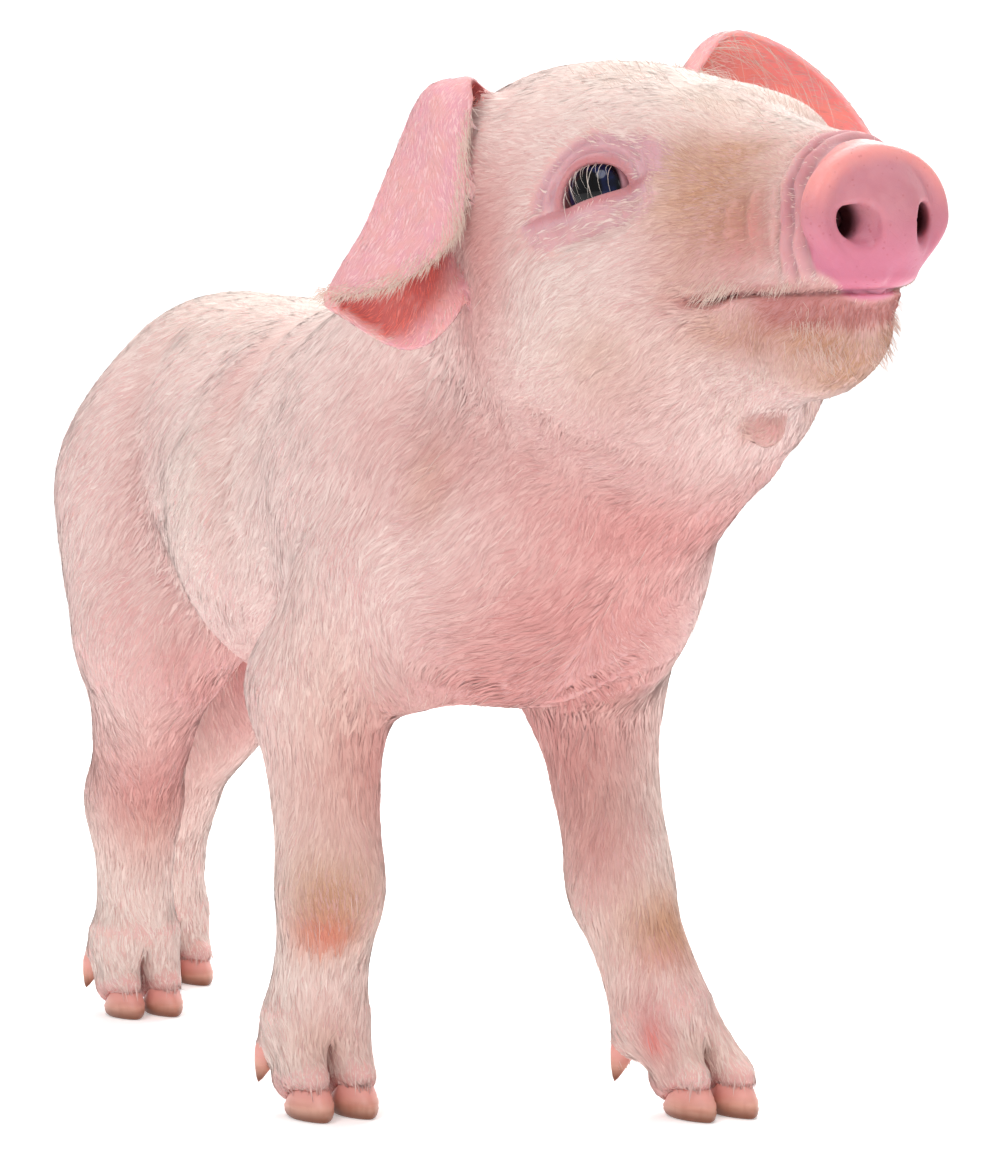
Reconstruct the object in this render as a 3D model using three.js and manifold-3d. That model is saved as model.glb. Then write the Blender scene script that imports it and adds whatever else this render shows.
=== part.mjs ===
// A white piglet about two weeks old, standing, with its head raised and turned to its left.
// Millimetres, +Z up. The piglet faces -Y and its left side is +X. Its soles stand on z = 0.
import * as THREE from "three";
import { mergeVertices } from "three/addons/utils/BufferGeometryUtils.js";
import Module from "manifold-3d";

const wasm = await Module();
wasm.setup();

// ---- Driving sizes -------------------------------------------------------------------------
const GAP = 0.3; // between two nodes that touch
const LAP = 60; // how far a cutting block reaches past the flesh
const NEWTON_STEPS = 3; // pulls of each vertex onto the surface

const HEAD_PLACE = { at: [1, -82.5, 182], yaw: 6, pitch: -1, roll: -4 }; // mid head, on the lip line
const DISC = { back: 53.9, front: 61, up: 15.5, halfWidth: 18, halfHeight: 14.8, square: 2.3 };
const NOSTRIL = { aside: 8.4, up: 15.5, halfWidth: 2.8, halfHeight: 3.7, deep: 11, spread: 1.5 };
const EYE = { at: [21, -0.6, 25.1], gaze: [0.898, 0.429, 0.102], radius: 8.4 };
const FISSURE = { halfLength: 8.6, halfHeight: 4.2, slant: 8 }; // the opening between the lids
const MOUTH = { height: 1.1, depth: 3.4, line: [[23, 2.2], [33, 1.2], [44, 1.6], [54, 0.5]] };
const EAR = { across: 8, along: 12, root: 2.8, edge: 1.5 }; // panels, and thickness at the root and at the edge
const TAIL = { root: 4.6, tip: 1.7, panels: 12, around: 7 };
const TOE = { apart: 6.3 };
const CLAW = { halfWidth: 5.3, front: 10.5, heel: 9, height: 10, around: 10 };
const DEWCLAW = { length: 8, radius: 3.2, around: 7 };

// Joints of each leg from hip or shoulder to the toes.
const FEET = {
  front_right: { hip: [-33, 6, 128], elbow: [-36, 29, 99], knee: [-38, 24, 51], fetlock: [-39.4, 30, 24], toe: [-39.2, 20] },
  front_left: { hip: [28, 2, 128], elbow: [29, 20, 99], knee: [29.5, 7, 51], fetlock: [34, -5, 24], toe: [40.2, -18.6] },
  hind_right: { hip: [-22, 180, 146], elbow: [-27, 164, 108], knee: [-20, 200, 60], fetlock: [-20, 199, 24], toe: [-20.2, 191] },
  hind_left: { hip: [20, 190, 146], elbow: [22, 196, 108], knee: [11, 249, 60], fetlock: [10.5, 254, 24], toe: [10.8, 246] },
};

// Where the trunk ends and a leg begins: from y to y, up to a plane that rises outward from the crotch.
const FRONT_CUT = { from: -30, to: 56, crotch: [12, 91], rise: 1.2 };
const HIND_CUT = { from: 140, to: 300, crotch: [10, 98], rise: 1.25 };
const NECK_CUTS = { head: { at: [0, -36, 0], away: [0, -0.87, -0.5] }, trunk: { at: [0, -14, 160], away: [0, -0.86, 0.51] } };

// ---- Solids: three.js geometry to manifold-3d and back ---------------------------------------
function toSolid(geometry) {
  const bare = geometry.index ? geometry.toNonIndexed() : geometry.clone();
  bare.deleteAttribute("normal");
  bare.deleteAttribute("uv");
  const merged = mergeVertices(bare, 1e-3);
  return new wasm.Manifold(
    new wasm.Mesh({
      numProp: 3,
      vertProperties: new Float32Array(merged.attributes.position.array),
      triVerts: new Uint32Array(merged.index.array),
    }),
  );
}

function toGeometry(solid) {
  const bodies = solid.decompose().sort((a, b) => b.volume() - a.volume());
  const mesh = bodies[0].getMesh();
  const geometry = new THREE.BufferGeometry();
  geometry.setAttribute("position", new THREE.BufferAttribute(new Float32Array(mesh.vertProperties), 3));
  geometry.setIndex(new THREE.BufferAttribute(new Uint32Array(mesh.triVerts), 1));
  geometry.computeVertexNormals();
  return geometry;
}

// A closed mesh from points and triangles, turned so that its faces look outward.
function closed(points, triangles) {
  const v = points.map((p) => new THREE.Vector3(...p));
  let volume = 0;
  for (const [i, j, k] of triangles) volume += v[i].dot(new THREE.Vector3().crossVectors(v[j], v[k]));
  const geometry = new THREE.BufferGeometry();
  geometry.setAttribute("position", new THREE.BufferAttribute(new Float32Array(points.flat()), 3));
  geometry.setIndex(triangles.flatMap(([i, j, k]) => (volume > 0 ? [i, j, k] : [i, k, j])));
  return geometry;
}

// A solid through rings of equally many points, closed by a fan at each end.
function loft(rings) {
  const n = rings[0].length;
  const points = rings.flat();
  const triangles = [];
  for (let r = 0; r < rings.length - 1; r++)
    for (let k = 0; k < n; k++) {
      const a = r * n + k;
      const b = r * n + ((k + 1) % n);
      triangles.push([a, b, b + n], [a, b + n, a + n]);
    }
  for (const first of [0, (rings.length - 1) * n]) {
    const ring = points.slice(first, first + n);
    const hub = points.push([0, 1, 2].map((axis) => ring.reduce((sum, p) => sum + p[axis], 0) / n)) - 1;
    for (let k = 0; k < n; k++) {
      const next = first + ((k + 1) % n);
      triangles.push(first ? [first + k, next, hub] : [next, first + k, hub]);
    }
  }
  return closed(points, triangles);
}
const around = (n, make) => Array.from({ length: n }, (_, k) => make((2 * Math.PI * k) / n));

// ---- Forms: signed distances that melt into each other ---------------------------------------
// A rounded bulge: an ellipsoid with half sizes `size`, turned by [about x, about y, about z] degrees.
function bulge(at, size, blend, turn = [0, 0, 0]) {
  const [rx, ry, rz] = turn.map(THREE.MathUtils.degToRad);
  const back = new THREE.Matrix4().makeRotationFromEuler(new THREE.Euler(rx, ry, rz)).transpose().elements;
  const distance = (x, y, z) => {
    const dx = x - at[0];
    const dy = y - at[1];
    const dz = z - at[2];
    const px = back[0] * dx + back[4] * dy + back[8] * dz;
    const py = back[1] * dx + back[5] * dy + back[9] * dz;
    const pz = back[2] * dx + back[6] * dy + back[10] * dz;
    const near = Math.hypot(px / size[0], py / size[1], pz / size[2]);
    const steep = Math.hypot(px / size[0] ** 2, py / size[1] ** 2, pz / size[2] ** 2);
    return steep < 1e-9 ? -Math.min(...size) : (near * (near - 1)) / steep;
  };
  return { blend, distance };
}

// A tapered limb with round ends from a to b. `squeeze` narrows it across x.
function limb(a, b, radiusA, radiusB, blend, squeeze = 1) {
  const ax = a[0] / squeeze;
  const bx = b[0] / squeeze;
  const d = [bx - ax, b[1] - a[1], b[2] - a[2]];
  const length2 = d[0] ** 2 + d[1] ** 2 + d[2] ** 2;
  const distance = (x, y, z) => {
    const px = x / squeeze - ax;
    const py = y - a[1];
    const pz = z - a[2];
    const raw = (px * d[0] + py * d[1] + pz * d[2]) / length2;
    const t = Math.min(1, Math.max(0, raw));
    const away = Math.hypot(px - t * d[0], py - t * d[1], pz - t * d[2]);
    return (away - radiusA - (radiusB - radiusA) * t) * Math.min(1, squeeze);
  };
  return { blend, distance };
}

const pair = (make) => [make(-1), make(1)]; // the right one, then the left one

// Melts forms together: each joins what stands so far over its own blend width.
function melt(forms) {
  return (x, y, z) => {
    let d = Infinity;
    for (const form of forms) {
      const e = form.distance(x, y, z);
      const h = Math.max(form.blend - Math.abs(d - e), 0);
      d = d === Infinity ? e : Math.min(d, e) - (h * h) / (4 * form.blend);
    }
    return d;
  };
}

// ---- The head's own frame: x to its left, y forward to the snout, z up from the lip line --------
function headFrame() {
  const { at, yaw, pitch, roll } = HEAD_PLACE;
  const rad = THREE.MathUtils.degToRad;
  const turn = new THREE.Matrix4()
    .makeRotationZ(rad(yaw))
    .multiply(new THREE.Matrix4().makeRotationX(rad(-pitch)))
    .multiply(new THREE.Matrix4().makeRotationY(rad(roll)));
  const flip = new THREE.Matrix4().makeScale(1, -1, 1);
  return new THREE.Matrix4().makeTranslation(...at).multiply(turn).multiply(flip);
}
const HEAD = headFrame();
const TO_HEAD = HEAD.clone().invert().elements;
const inHead = (distance) => (x, y, z) =>
  distance(
    TO_HEAD[0] * x + TO_HEAD[4] * y + TO_HEAD[8] * z + TO_HEAD[12],
    TO_HEAD[1] * x + TO_HEAD[5] * y + TO_HEAD[9] * z + TO_HEAD[13],
    TO_HEAD[2] * x + TO_HEAD[6] * y + TO_HEAD[10] * z + TO_HEAD[14],
  );
const fromHead = (x, y, z) => new THREE.Vector3(x, y, z).applyMatrix4(HEAD).toArray();

const headForms = [
  bulge([0, -26, 21], [33.5, 37, 30.5], 8), // skull
  bulge([0, -18, 32], [22, 22, 17.5], 12), // crown
  ...pair((s) => bulge([s * 23, -38, 28], [13, 12, 13], 10)), // root of the ear
  ...pair((s) => bulge([s * 15, 2, 30], [14, 22, 17], 10)), // brow
  ...pair((s) => bulge([s * 22.5, 3, 24], [9.5, 14, 12.5], 6)), // rim of the eye
  limb([0, 0, 20], [0, 52, 15.5], 24, 15, 10), // muzzle
  limb([0, 8, 31], [0, 50, 20], 12, 10, 8), // bridge of the nose
  ...pair((s) => limb([s * 13, 6, 6], [s * 6, 47, 7], 14, 10, 8)), // upper lips
  limb([0, -20, -7], [0, 36, -6], 21, 13.5, 8), // lower jaw
  bulge([0, 40, -6], [13, 11.5, 9], 6), // chin
  ...pair((s) => bulge([s * 22, -16, 2], [17, 32, 25], 12)), // cheeks
  bulge([0, -12, -16], [24, 31, 17.5], 12), // jowls
];

// ---- Trunk, neck and legs ---------------------------------------------------------------------
const nape = fromHead(0, -44, 18);
const crest = fromHead(0, -52, 24);
const gullet = fromHead(2, -18, -18);
const trunkForms = [
  bulge([0, 58, 145], [45, 80, 49], 10), // rib cage
  bulge([0, 92, 139], [48.5, 50, 47], 14), // belly
  bulge([0, 138, 150], [40, 66, 47], 14), // loin and flank
  bulge([0, 180, 154], [37, 45, 45], 20), // rump
  bulge([0, 16, 149], [39, 46, 44], 20), // withers and shoulder top
  bulge([-3, -6, 134], [32, 28, 36], 16), // breast
  ...pair((s) => bulge([s * 27, 14, 130], [18, 34, 38], 14, [-18, 0, 0])), // shoulder and upper arm
  ...pair((s) => bulge([s * 23, 186, 135], [19.5, 39, 46], 8, [20, 0, 0])), // ham
];
const neckForms = [
  limb([0, 22, 152], nape, 42, 33, 18),
  limb([0, 8, 166], crest, 28, 24, 18),
  limb([5, 0, 134], gullet, 34, 28, 18),
];

function legForms(name) {
  const hind = name.startsWith("hind");
  const { hip, elbow, knee, fetlock, toe } = FEET[name];
  const forms = [
    limb(hip, elbow, hind ? 25 : 18, hind ? 22 : 16, hind ? 14 : 6),
    limb(elbow, knee, hind ? 21 : 16, hind ? 12.5 : 11.2, hind ? 10 : 6, hind ? 0.9 : 1),
    bulge(knee, hind ? [11, 13, 14] : [12, 12.5, 12], 6), // hock or knee
    limb(knee, fetlock, hind ? 10.8 : 10.6, hind ? 10.5 : 11, 8),
  ];
  for (const aside of [-1, 1]) {
    const x = toe[0] + aside * TOE.apart;
    forms.push(limb([fetlock[0] + aside * 4.5, fetlock[1] - 2, fetlock[2] - 3], [x, toe[1] + 3, 9.5], 8.2, 6, 2.5)); // toe
    forms.push(bulge([x, toe[1] + 9, 8.5], [5.6, 8, 6.5], 3)); // heel
    const dew = dewclaw(name, aside);
    forms.push(limb([dew.root[0] - aside * 2, dew.root[1] - 3, dew.root[2] + 7], dew.root, 4.8, 3.6, 4)); // root of the dewclaw
  }
  return forms;
}

// Where a dewclaw leaves the leg and where its tip is.
function dewclaw(name, aside) {
  const { fetlock, toe } = FEET[name];
  const [x, y] = [0, 1].map((axis) => THREE.MathUtils.lerp(fetlock[axis], toe[axis], 0.35));
  const root = [x + aside * 7.6, y + 10, fetlock[2] - 9];
  return { root, tip: [root[0] + aside * 1.2, root[1] + 1.5, root[2] - DEWCLAW.length] };
}

const LEGS = Object.keys(FEET);
const bodyField = melt([
  ...trunkForms,
  ...neckForms,
  { blend: 14, distance: inHead(melt(headForms)) },
  ...LEGS.flatMap(legForms),
]);

// ---- Skin: a closed mesh where the field is `level`, on a grid of uneven steps -----------------
const steps = (stops) => {
  const out = [stops[0][0]];
  for (let i = 1; i < stops.length; i++) {
    const [from] = stops[i - 1];
    const [to, step] = stops[i];
    const n = Math.max(1, Math.round((to - from) / step));
    for (let k = 1; k <= n; k++) out.push(from + ((to - from) * k) / n);
  }
  return out;
};

function skin(field, xs, ys, zs, level = 0) {
  const [nx, ny, nz] = [xs.length, ys.length, zs.length];
  const id = (i, j, k) => (k * ny + j) * nx + i;
  const value = new Float64Array(nx * ny * nz);
  for (let k = 0; k < nz; k++)
    for (let j = 0; j < ny; j++)
      for (let i = 0; i < nx; i++) {
        const edge = !i || !j || !k || i === nx - 1 || j === ny - 1 || k === nz - 1;
        const d = field(xs[i], ys[j], zs[k]) - level;
        value[id(i, j, k)] = edge ? Math.max(d, 0.5) : d;
      }
  const vertex = new Map();
  const points = [];
  const corner = [0, 1, 2, 3, 4, 5, 6, 7].map((c) => [c & 1, (c >> 1) & 1, (c >> 2) & 1]);
  const edges = [];
  for (let a = 0; a < 8; a++) for (const bit of [1, 2, 4]) if (!(a & bit)) edges.push([a, a | bit]);
  for (let k = 0; k < nz - 1; k++)
    for (let j = 0; j < ny - 1; j++)
      for (let i = 0; i < nx - 1; i++) {
        const v = corner.map(([a, b, c]) => value[id(i + a, j + b, k + c)]);
        const inside = v.filter((d) => d < 0).length;
        if (inside === 0 || inside === 8) continue;
        const sum = [0, 0, 0];
        let count = 0;
        for (const [a, b] of edges) {
          if (v[a] < 0 === v[b] < 0) continue;
          const t = v[a] / (v[a] - v[b]);
          const at = (axis, list, base) => {
            const from = list[base + corner[a][axis]];
            return from + t * (list[base + corner[b][axis]] - from);
          };
          sum[0] += at(0, xs, i);
          sum[1] += at(1, ys, j);
          sum[2] += at(2, zs, k);
          count++;
        }
        vertex.set(id(i, j, k), points.length);
        points.push(onSurface(field, level, sum.map((s) => s / count), edgeOfGrid(i, j, k, nx, ny, nz)));
      }
  const index = [];
  const quad = (a, b, c, d, flip) => {
    const q = flip ? [d, c, b, a] : [a, b, c, d];
    const far = (m, n) => (points[m][0] - points[n][0]) ** 2 + (points[m][1] - points[n][1]) ** 2 + (points[m][2] - points[n][2]) ** 2;
    if (far(q[0], q[2]) < far(q[1], q[3])) index.push(q[0], q[1], q[2], q[0], q[2], q[3]);
    else index.push(q[0], q[1], q[3], q[1], q[2], q[3]);
  };
  for (let k = 0; k < nz - 1; k++)
    for (let j = 0; j < ny - 1; j++)
      for (let i = 0; i < nx - 1; i++) {
        const here = value[id(i, j, k)] < 0;
        const cell = (a, b, c) => vertex.get(id(i - a, j - b, k - c));
        if (j && k && here !== value[id(i + 1, j, k)] < 0) quad(cell(0, 1, 1), cell(0, 0, 1), cell(0, 0, 0), cell(0, 1, 0), !here);
        if (i && k && here !== value[id(i, j + 1, k)] < 0) quad(cell(1, 0, 1), cell(1, 0, 0), cell(0, 0, 0), cell(0, 0, 1), !here);
        if (i && j && here !== value[id(i, j, k + 1)] < 0) quad(cell(1, 1, 0), cell(0, 1, 0), cell(0, 0, 0), cell(1, 0, 0), !here);
      }
  const geometry = new THREE.BufferGeometry();
  geometry.setAttribute("position", new THREE.BufferAttribute(new Float32Array(points.flat()), 3));
  geometry.setIndex(index);
  return geometry;
}

const edgeOfGrid = (i, j, k, nx, ny, nz) => !i || !j || !k || i >= nx - 2 || j >= ny - 2 || k >= nz - 2;

// Newton steps along the field's slope, away from the sides where the grid itself closes the mesh.
function onSurface(field, level, p, closing) {
  if (closing) return p;
  const h = 0.05;
  let [x, y, z] = p;
  for (let n = 0; n < NEWTON_STEPS; n++) {
    const d = field(x, y, z) - level;
    const gx = (field(x + h, y, z) - field(x - h, y, z)) / (2 * h);
    const gy = (field(x, y + h, z) - field(x, y - h, z)) / (2 * h);
    const gz = (field(x, y, z + h) - field(x, y, z - h)) / (2 * h);
    const g2 = Math.max(gx * gx + gy * gy + gz * gz, 0.25);
    x -= (d * gx) / g2;
    y -= (d * gy) / g2;
    z -= (d * gz) / g2;
  }
  return [x, y, z];
}

// ---- Cutting blocks ------------------------------------------------------------------------------
// A block with its face on `at`, reaching away from it along `normal`.
function halfSpace(at, normal) {
  const block = new THREE.BoxGeometry(LAP * 8, LAP * 8, LAP * 8).translate(0, 0, LAP * 4);
  const turn = new THREE.Quaternion().setFromUnitVectors(new THREE.Vector3(0, 0, 1), new THREE.Vector3(...normal).normalize());
  return toSolid(block.applyQuaternion(turn).translate(...at));
}

// A leg's share of the body, `grow` larger on every side.
function legBlock(name, grow) {
  const side = name.endsWith("right") ? -1 : 1;
  const { from, to, crotch, rise } = name.startsWith("hind") ? HIND_CUT : FRONT_CUT;
  const top = (x) => crotch[1] + (x - crotch[0]) * rise + grow * Math.hypot(1, rise);
  const inner = GAP / 2 - grow;
  const shape = new THREE.Shape();
  shape.moveTo(side * inner, -LAP);
  shape.lineTo(side * 2 * LAP, -LAP);
  shape.lineTo(side * 2 * LAP, top(2 * LAP));
  shape.lineTo(side * inner, top(inner));
  const block = new THREE.ExtrudeGeometry(shape, { depth: to - from + 2 * grow, bevelEnabled: false });
  return toSolid(block.rotateX(Math.PI / 2).translate(0, to + grow, 0));
}

// ---- Flesh: head, neck, torso and legs ---------------------------------------------------------------
const headGrid = [steps([[-50, 0], [54, 5.6]]), steps([[-152, 0], [-100, 5], [-6, 6.6]]), steps([[104, 0], [160, 6.4], [250, 5.4]])];
const neckGrid = [steps([[-54, 0], [54, 8]]), steps([[-96, 0], [20, 8]]), steps([[84, 0], [240, 8]])];
const torsoGrid = [steps([[-60, 0], [60, 8]]), steps([[-48, 0], [236, 9.2]]), steps([[78, 0], [216, 8]])];
const flesh = (grid, level = 0) => toSolid(skin(bodyField, ...grid, level));

const headPlane = (shift) => {
  const { at, away } = NECK_CUTS.head;
  const from = fromHead(...at.map((v, k) => v + away[k] * shift));
  const to = fromHead(...at.map((v, k) => v + away[k]));
  const origin = fromHead(...at);
  return [from, to.map((v, k) => v - origin[k])];
};
const trunkPlane = (shift) => {
  const { at, away } = NECK_CUTS.trunk;
  return [at.map((v, k) => v + away[k] * shift), away];
};
const legsOut = LEGS.map((name) => legBlock(name, GAP)).reduce((all, block) => all.add(block));

const headFlesh = flesh(headGrid);
const rawHead = headFlesh.subtract(halfSpace(...headPlane(0)));
const neck = flesh(neckGrid)
  .intersect(halfSpace(...headPlane(GAP)))
  .intersect(halfSpace(...trunkPlane(0)))
  .subtract(legsOut);
const torso = flesh(torsoGrid).subtract(halfSpace(...trunkPlane(-GAP))).subtract(legsOut);

// ---- Snout disc and nostrils -----------------------------------------------------------------------
// One ring of the disc at `y`, `scale` of its full size.
const discRing = (y, scale, grow = 0) =>
  around(24, (a) => {
    const [c, s] = [Math.cos(a), Math.sin(a)];
    const reach = (Math.abs(c) ** DISC.square + Math.abs(s) ** DISC.square) ** (-1 / DISC.square);
    return fromHead(reach * c * DISC.halfWidth * scale + grow * c, y, DISC.up + reach * s * DISC.halfHeight * scale + grow * s);
  });
const DISC_RINGS = [[0, 0.9], [1.6, 0.985], [3.6, 1], [5.6, 0.98], [6.8, 0.92], [7.1, 0.84], [6.6, 0.4]]; // ahead of its back, share of its size
const nostril = (s) =>
  loft(
    [[3, 1.35], [0.2, 1.15], [-3, 0.95], [-NOSTRIL.deep, 0.5]].map(([ahead, scale]) =>
      around(12, (a) =>
        fromHead(
          s * (NOSTRIL.aside - (ahead / NOSTRIL.deep) * -NOSTRIL.spread) + NOSTRIL.halfWidth * scale * Math.cos(a),
          DISC.front + ahead,
          NOSTRIL.up + NOSTRIL.halfHeight * scale * Math.sin(a),
        ),
      ),
    ),
  );
const nostrils = pair(nostril).map(toSolid).reduce((a, b) => a.add(b));
const disc = toSolid(loft(DISC_RINGS.map(([ahead, scale]) => discRing(DISC.back + ahead, scale)))).subtract(nostrils);
const discSeat = toSolid(loft([discRing(DISC.back - GAP, 1.25), discRing(DISC.front + 20, 1.25)]));

// ---- Eyes, lids and mouth ---------------------------------------------------------------------------
const eyeAt = (s) => fromHead(s * EYE.at[0], EYE.at[1], EYE.at[2]);
const eyeball = (s, grow = 0) => new THREE.SphereGeometry(EYE.radius + grow, 16, 10).translate(...eyeAt(s));

// The opening between the lids, flaring outward from the eyeball.
function fissure(s) {
  const gaze = new THREE.Vector3(s * EYE.gaze[0], EYE.gaze[1], EYE.gaze[2]).normalize();
  const up = new THREE.Vector3(0, 0, 1).addScaledVector(gaze, -gaze.z).normalize();
  const ahead = new THREE.Vector3(0, 1, 0).addScaledVector(gaze, -gaze.y).normalize();
  const slant = THREE.MathUtils.degToRad(FISSURE.slant);
  const long = ahead.clone().multiplyScalar(Math.cos(slant)).addScaledVector(up, Math.sin(slant));
  const high = new THREE.Vector3().crossVectors(long, gaze).normalize();
  const rings = [[3, 0.75, 0.7], [8.2, 1, 1], [16, 1.5, 2.1]].map(([out, wide, tall]) =>
    around(16, (a) => {
      const p = new THREE.Vector3(s * EYE.at[0], EYE.at[1], EYE.at[2])
        .addScaledVector(gaze, out)
        .addScaledVector(long, FISSURE.halfLength * wide * Math.cos(a))
        .addScaledVector(high, FISSURE.halfHeight * tall * Math.sin(a) * Math.abs(Math.sin(a)) ** 0.4);
      return fromHead(...p.toArray());
    }),
  );
  return loft(rings);
}

// The line between the lips: a curved slab that cuts only as deep as MOUTH.depth into the skin.
function mouthLine() {
  const rings = MOUTH.line.map(([y, z], k) => {
    const half = (MOUTH.height / 2) * (k ? 1 : 0.25);
    return [[-LAP, -half], [LAP, -half], [LAP, half], [-LAP, half]].map(([x, dz]) => fromHead(x, y, z + dz));
  });
  return toSolid(loft(rings)).subtract(flesh(headGrid, -MOUTH.depth));
}

const head = [discSeat, nostrils, mouthLine(), ...pair((s) => toSolid(eyeball(s, GAP))), ...pair((s) => toSolid(fissure(s)))].reduce(
  (rest, tool) => rest.subtract(tool),
  rawHead,
);

// ---- Ears ---------------------------------------------------------------------------------------------
// Each ear is a sheet through three lines from root to tip: its back margin, its midrib and its front margin.
const EARS = {
  right: {
    back: [[-25, -40, 44], [-28, -41, 28], [-32, -39, 12], [-38, -37, 0], [-48, -46, -5], [-59, -56, 4]],
    rib: [[-28.5, -42, 50], [-38.5, -46, 44], [-45, -49, 31.5], [-51, -51, 19], [-56.5, -54, 11], [-60, -56, 6]],
    front: [[-32, -31, 47], [-37, -28, 38], [-41, -27, 25], [-44, -29, 15], [-52, -38, 10], [-61, -55, 8]],
  },
  left: {
    back: [[28, -40, 51], [41, -44, 61], [53, -42, 59], [64.5, -38, 50], [74, -36, 38], [81, -34, 24]],
    rib: [[24, -44, 32], [38, -50, 38], [50, -50, 37], [62, -46, 33], [72, -40, 28], [81, -34, 22]],
    front: [[28, -28, 14], [38, -24, 12], [50, -24, 11], [62, -27, 12], [73, -31, 15], [81, -34, 20]],
  },
};

function ear({ back, rib, front }) {
  const line = (points) => new THREE.CatmullRomCurve3(points.map((p) => new THREE.Vector3(...p)));
  const [b, m, f] = [line(back), line(rib), line(front)];
  const at = (u, v) => {
    const [pb, pm, pf] = [b, m, f].map((curve) => curve.getPoint(v));
    const middle = pb.clone().add(pf).multiplyScalar(0.5);
    const angle = u * (Math.PI / 2);
    return middle.clone().addScaledVector(pm.sub(middle), Math.cos(angle)).addScaledVector(pf.sub(pb), Math.sin(angle) / 2);
  };
  const faces = [[], []];
  for (let j = 0; j <= EAR.along; j++)
    for (let i = 0; i <= EAR.across; i++) {
      const [u, v] = [(2 * i) / EAR.across - 1, j / EAR.along];
      const h = 0.02;
      const across = at(Math.min(1, u + h), v).sub(at(Math.max(-1, u - h), v));
      const along = at(u, Math.min(1, v + h)).sub(at(u, Math.max(0, v - h)));
      const out = new THREE.Vector3().crossVectors(across, along).normalize();
      const thick = THREE.MathUtils.lerp(EAR.root, EAR.edge, Math.max(v, Math.abs(u) ** 3));
      faces.forEach((face, side) => face.push(fromHead(...at(u, v).addScaledVector(out, (side - 0.5) * thick).toArray())));
    }
  const row = EAR.across + 1;
  const half = faces[0].length;
  const triangles = [];
  for (let j = 0; j < EAR.along; j++)
    for (let i = 0; i < EAR.across; i++) {
      const a = j * row + i;
      const even = i < EAR.across / 2;
      for (const [p, q, r] of even ? [[0, 1, row + 1], [0, row + 1, row]] : [[0, 1, row], [1, row + 1, row]]) {
        triangles.push([a + p, a + q, a + r], [half + a + p, half + a + r, half + a + q]);
      }
    }
  const rim = [];
  for (let i = 0; i < EAR.across; i++) rim.push([i + 1, i], [EAR.along * row + i, EAR.along * row + i + 1]);
  for (let j = 0; j < EAR.along; j++) rim.push([j * row, (j + 1) * row], [(j + 2) * row - 1, (j + 1) * row - 1]);
  for (const [p, q] of rim) triangles.push([p, q, q + half], [p, q + half, p + half]);
  return toSolid(closed([...faces[0], ...faces[1]], triangles));
}

// ---- Tail ----------------------------------------------------------------------------------------------
function tail() {
  const curve = new THREE.CatmullRomCurve3(
    [[0, 212, 172], [1, 228, 171], [4, 240, 164], [9, 245, 152], [9, 250, 139], [1, 254, 132], [-5, 250, 127]].map(
      (p) => new THREE.Vector3(...p),
    ),
  );
  const frames = curve.computeFrenetFrames(TAIL.panels, false);
  const rings = frames.tangents.map((_, k) => {
    const t = k / TAIL.panels;
    const radius = THREE.MathUtils.lerp(TAIL.root, TAIL.tip, t ** 0.8);
    return around(TAIL.around, (a) =>
      curve
        .getPoint(t)
        .addScaledVector(frames.normals[k], radius * Math.cos(a))
        .addScaledVector(frames.binormals[k], radius * Math.sin(a))
        .toArray(),
    );
  });
  return toSolid(loft(rings)).subtract(flesh(torsoGrid, GAP));
}

// ---- Claws and dewclaws --------------------------------------------------------------------------------
// Height, half width, reach ahead, reach behind, shares of the full claw; the sole is flat on the floor.
const CLAW_RINGS = [[0, 0.74, 0.84, 0.86], [0.12, 0.92, 0.97, 0.97], [0.4, 1, 0.92, 1], [0.75, 0.88, 0.68, 0.82], [1, 0.55, 0.35, 0.5]];
function claw(name, aside, grow = 0) {
  const { toe } = FEET[name];
  const [cx, cy] = [toe[0] + aside * TOE.apart, toe[1] + 1];
  const rings = CLAW_RINGS.map(([high, wide, ahead, behind], r) =>
    around(CLAW.around, (a) => {
      const [c, s] = [Math.cos(a), Math.sin(a)];
      const reach = c > 0 ? CLAW.front * ahead : CLAW.heel * behind;
      const narrow = 1 - 0.3 * Math.max(0, c) ** 2;
      const low = 1 - 0.45 * Math.max(0, -c);
      return [
        cx + s * (CLAW.halfWidth * wide * narrow + grow),
        cy - c * (reach + grow),
        r || !grow ? CLAW.height * high * low + grow : -grow,
      ];
    }),
  );
  return toSolid(loft(rings));
}

function dewclawCone(name, aside, grow = 0) {
  const { root, tip } = dewclaw(name, aside);
  const [from, to] = [new THREE.Vector3(...root), new THREE.Vector3(...tip)];
  const turn = new THREE.Quaternion().setFromUnitVectors(new THREE.Vector3(0, 0, 1), to.clone().sub(from).normalize());
  const length = from.distanceTo(to);
  const rings = [[-0.1, 0.9], [0.35, 1], [0.75, 0.72], [1, 0.28]].map(([t, scale]) =>
    around(DEWCLAW.around, (a) =>
      new THREE.Vector3((DEWCLAW.radius * scale + grow) * Math.cos(a), (DEWCLAW.radius * scale + grow) * Math.sin(a), length * t + Math.sign(t) * grow)
        .applyQuaternion(turn)
        .add(from)
        .toArray(),
    ),
  );
  return toSolid(loft(rings));
}

// ---- Legs -------------------------------------------------------------------------------------------------
function leg(name) {
  const side = name.endsWith("right") ? -1 : 1;
  const { from, to } = name.startsWith("hind") ? HIND_CUT : FRONT_CUT;
  const xs = steps(side < 0 ? [[-64, 0], [6, 5.2]] : [[-6, 0], [64, 5.2]]);
  const grid = [xs, steps([[from - 14, 0], [Math.min(to + 14, 290), 6.6]]), steps([[-2.5, 0], [30, 4.8], [166, 7.8]])];
  const bare = flesh(grid).intersect(legBlock(name, 0));
  return [-1, 1].reduce((rest, aside) => rest.subtract(claw(name, aside, GAP)).subtract(dewclawCone(name, aside, GAP)), bare);
}

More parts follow.
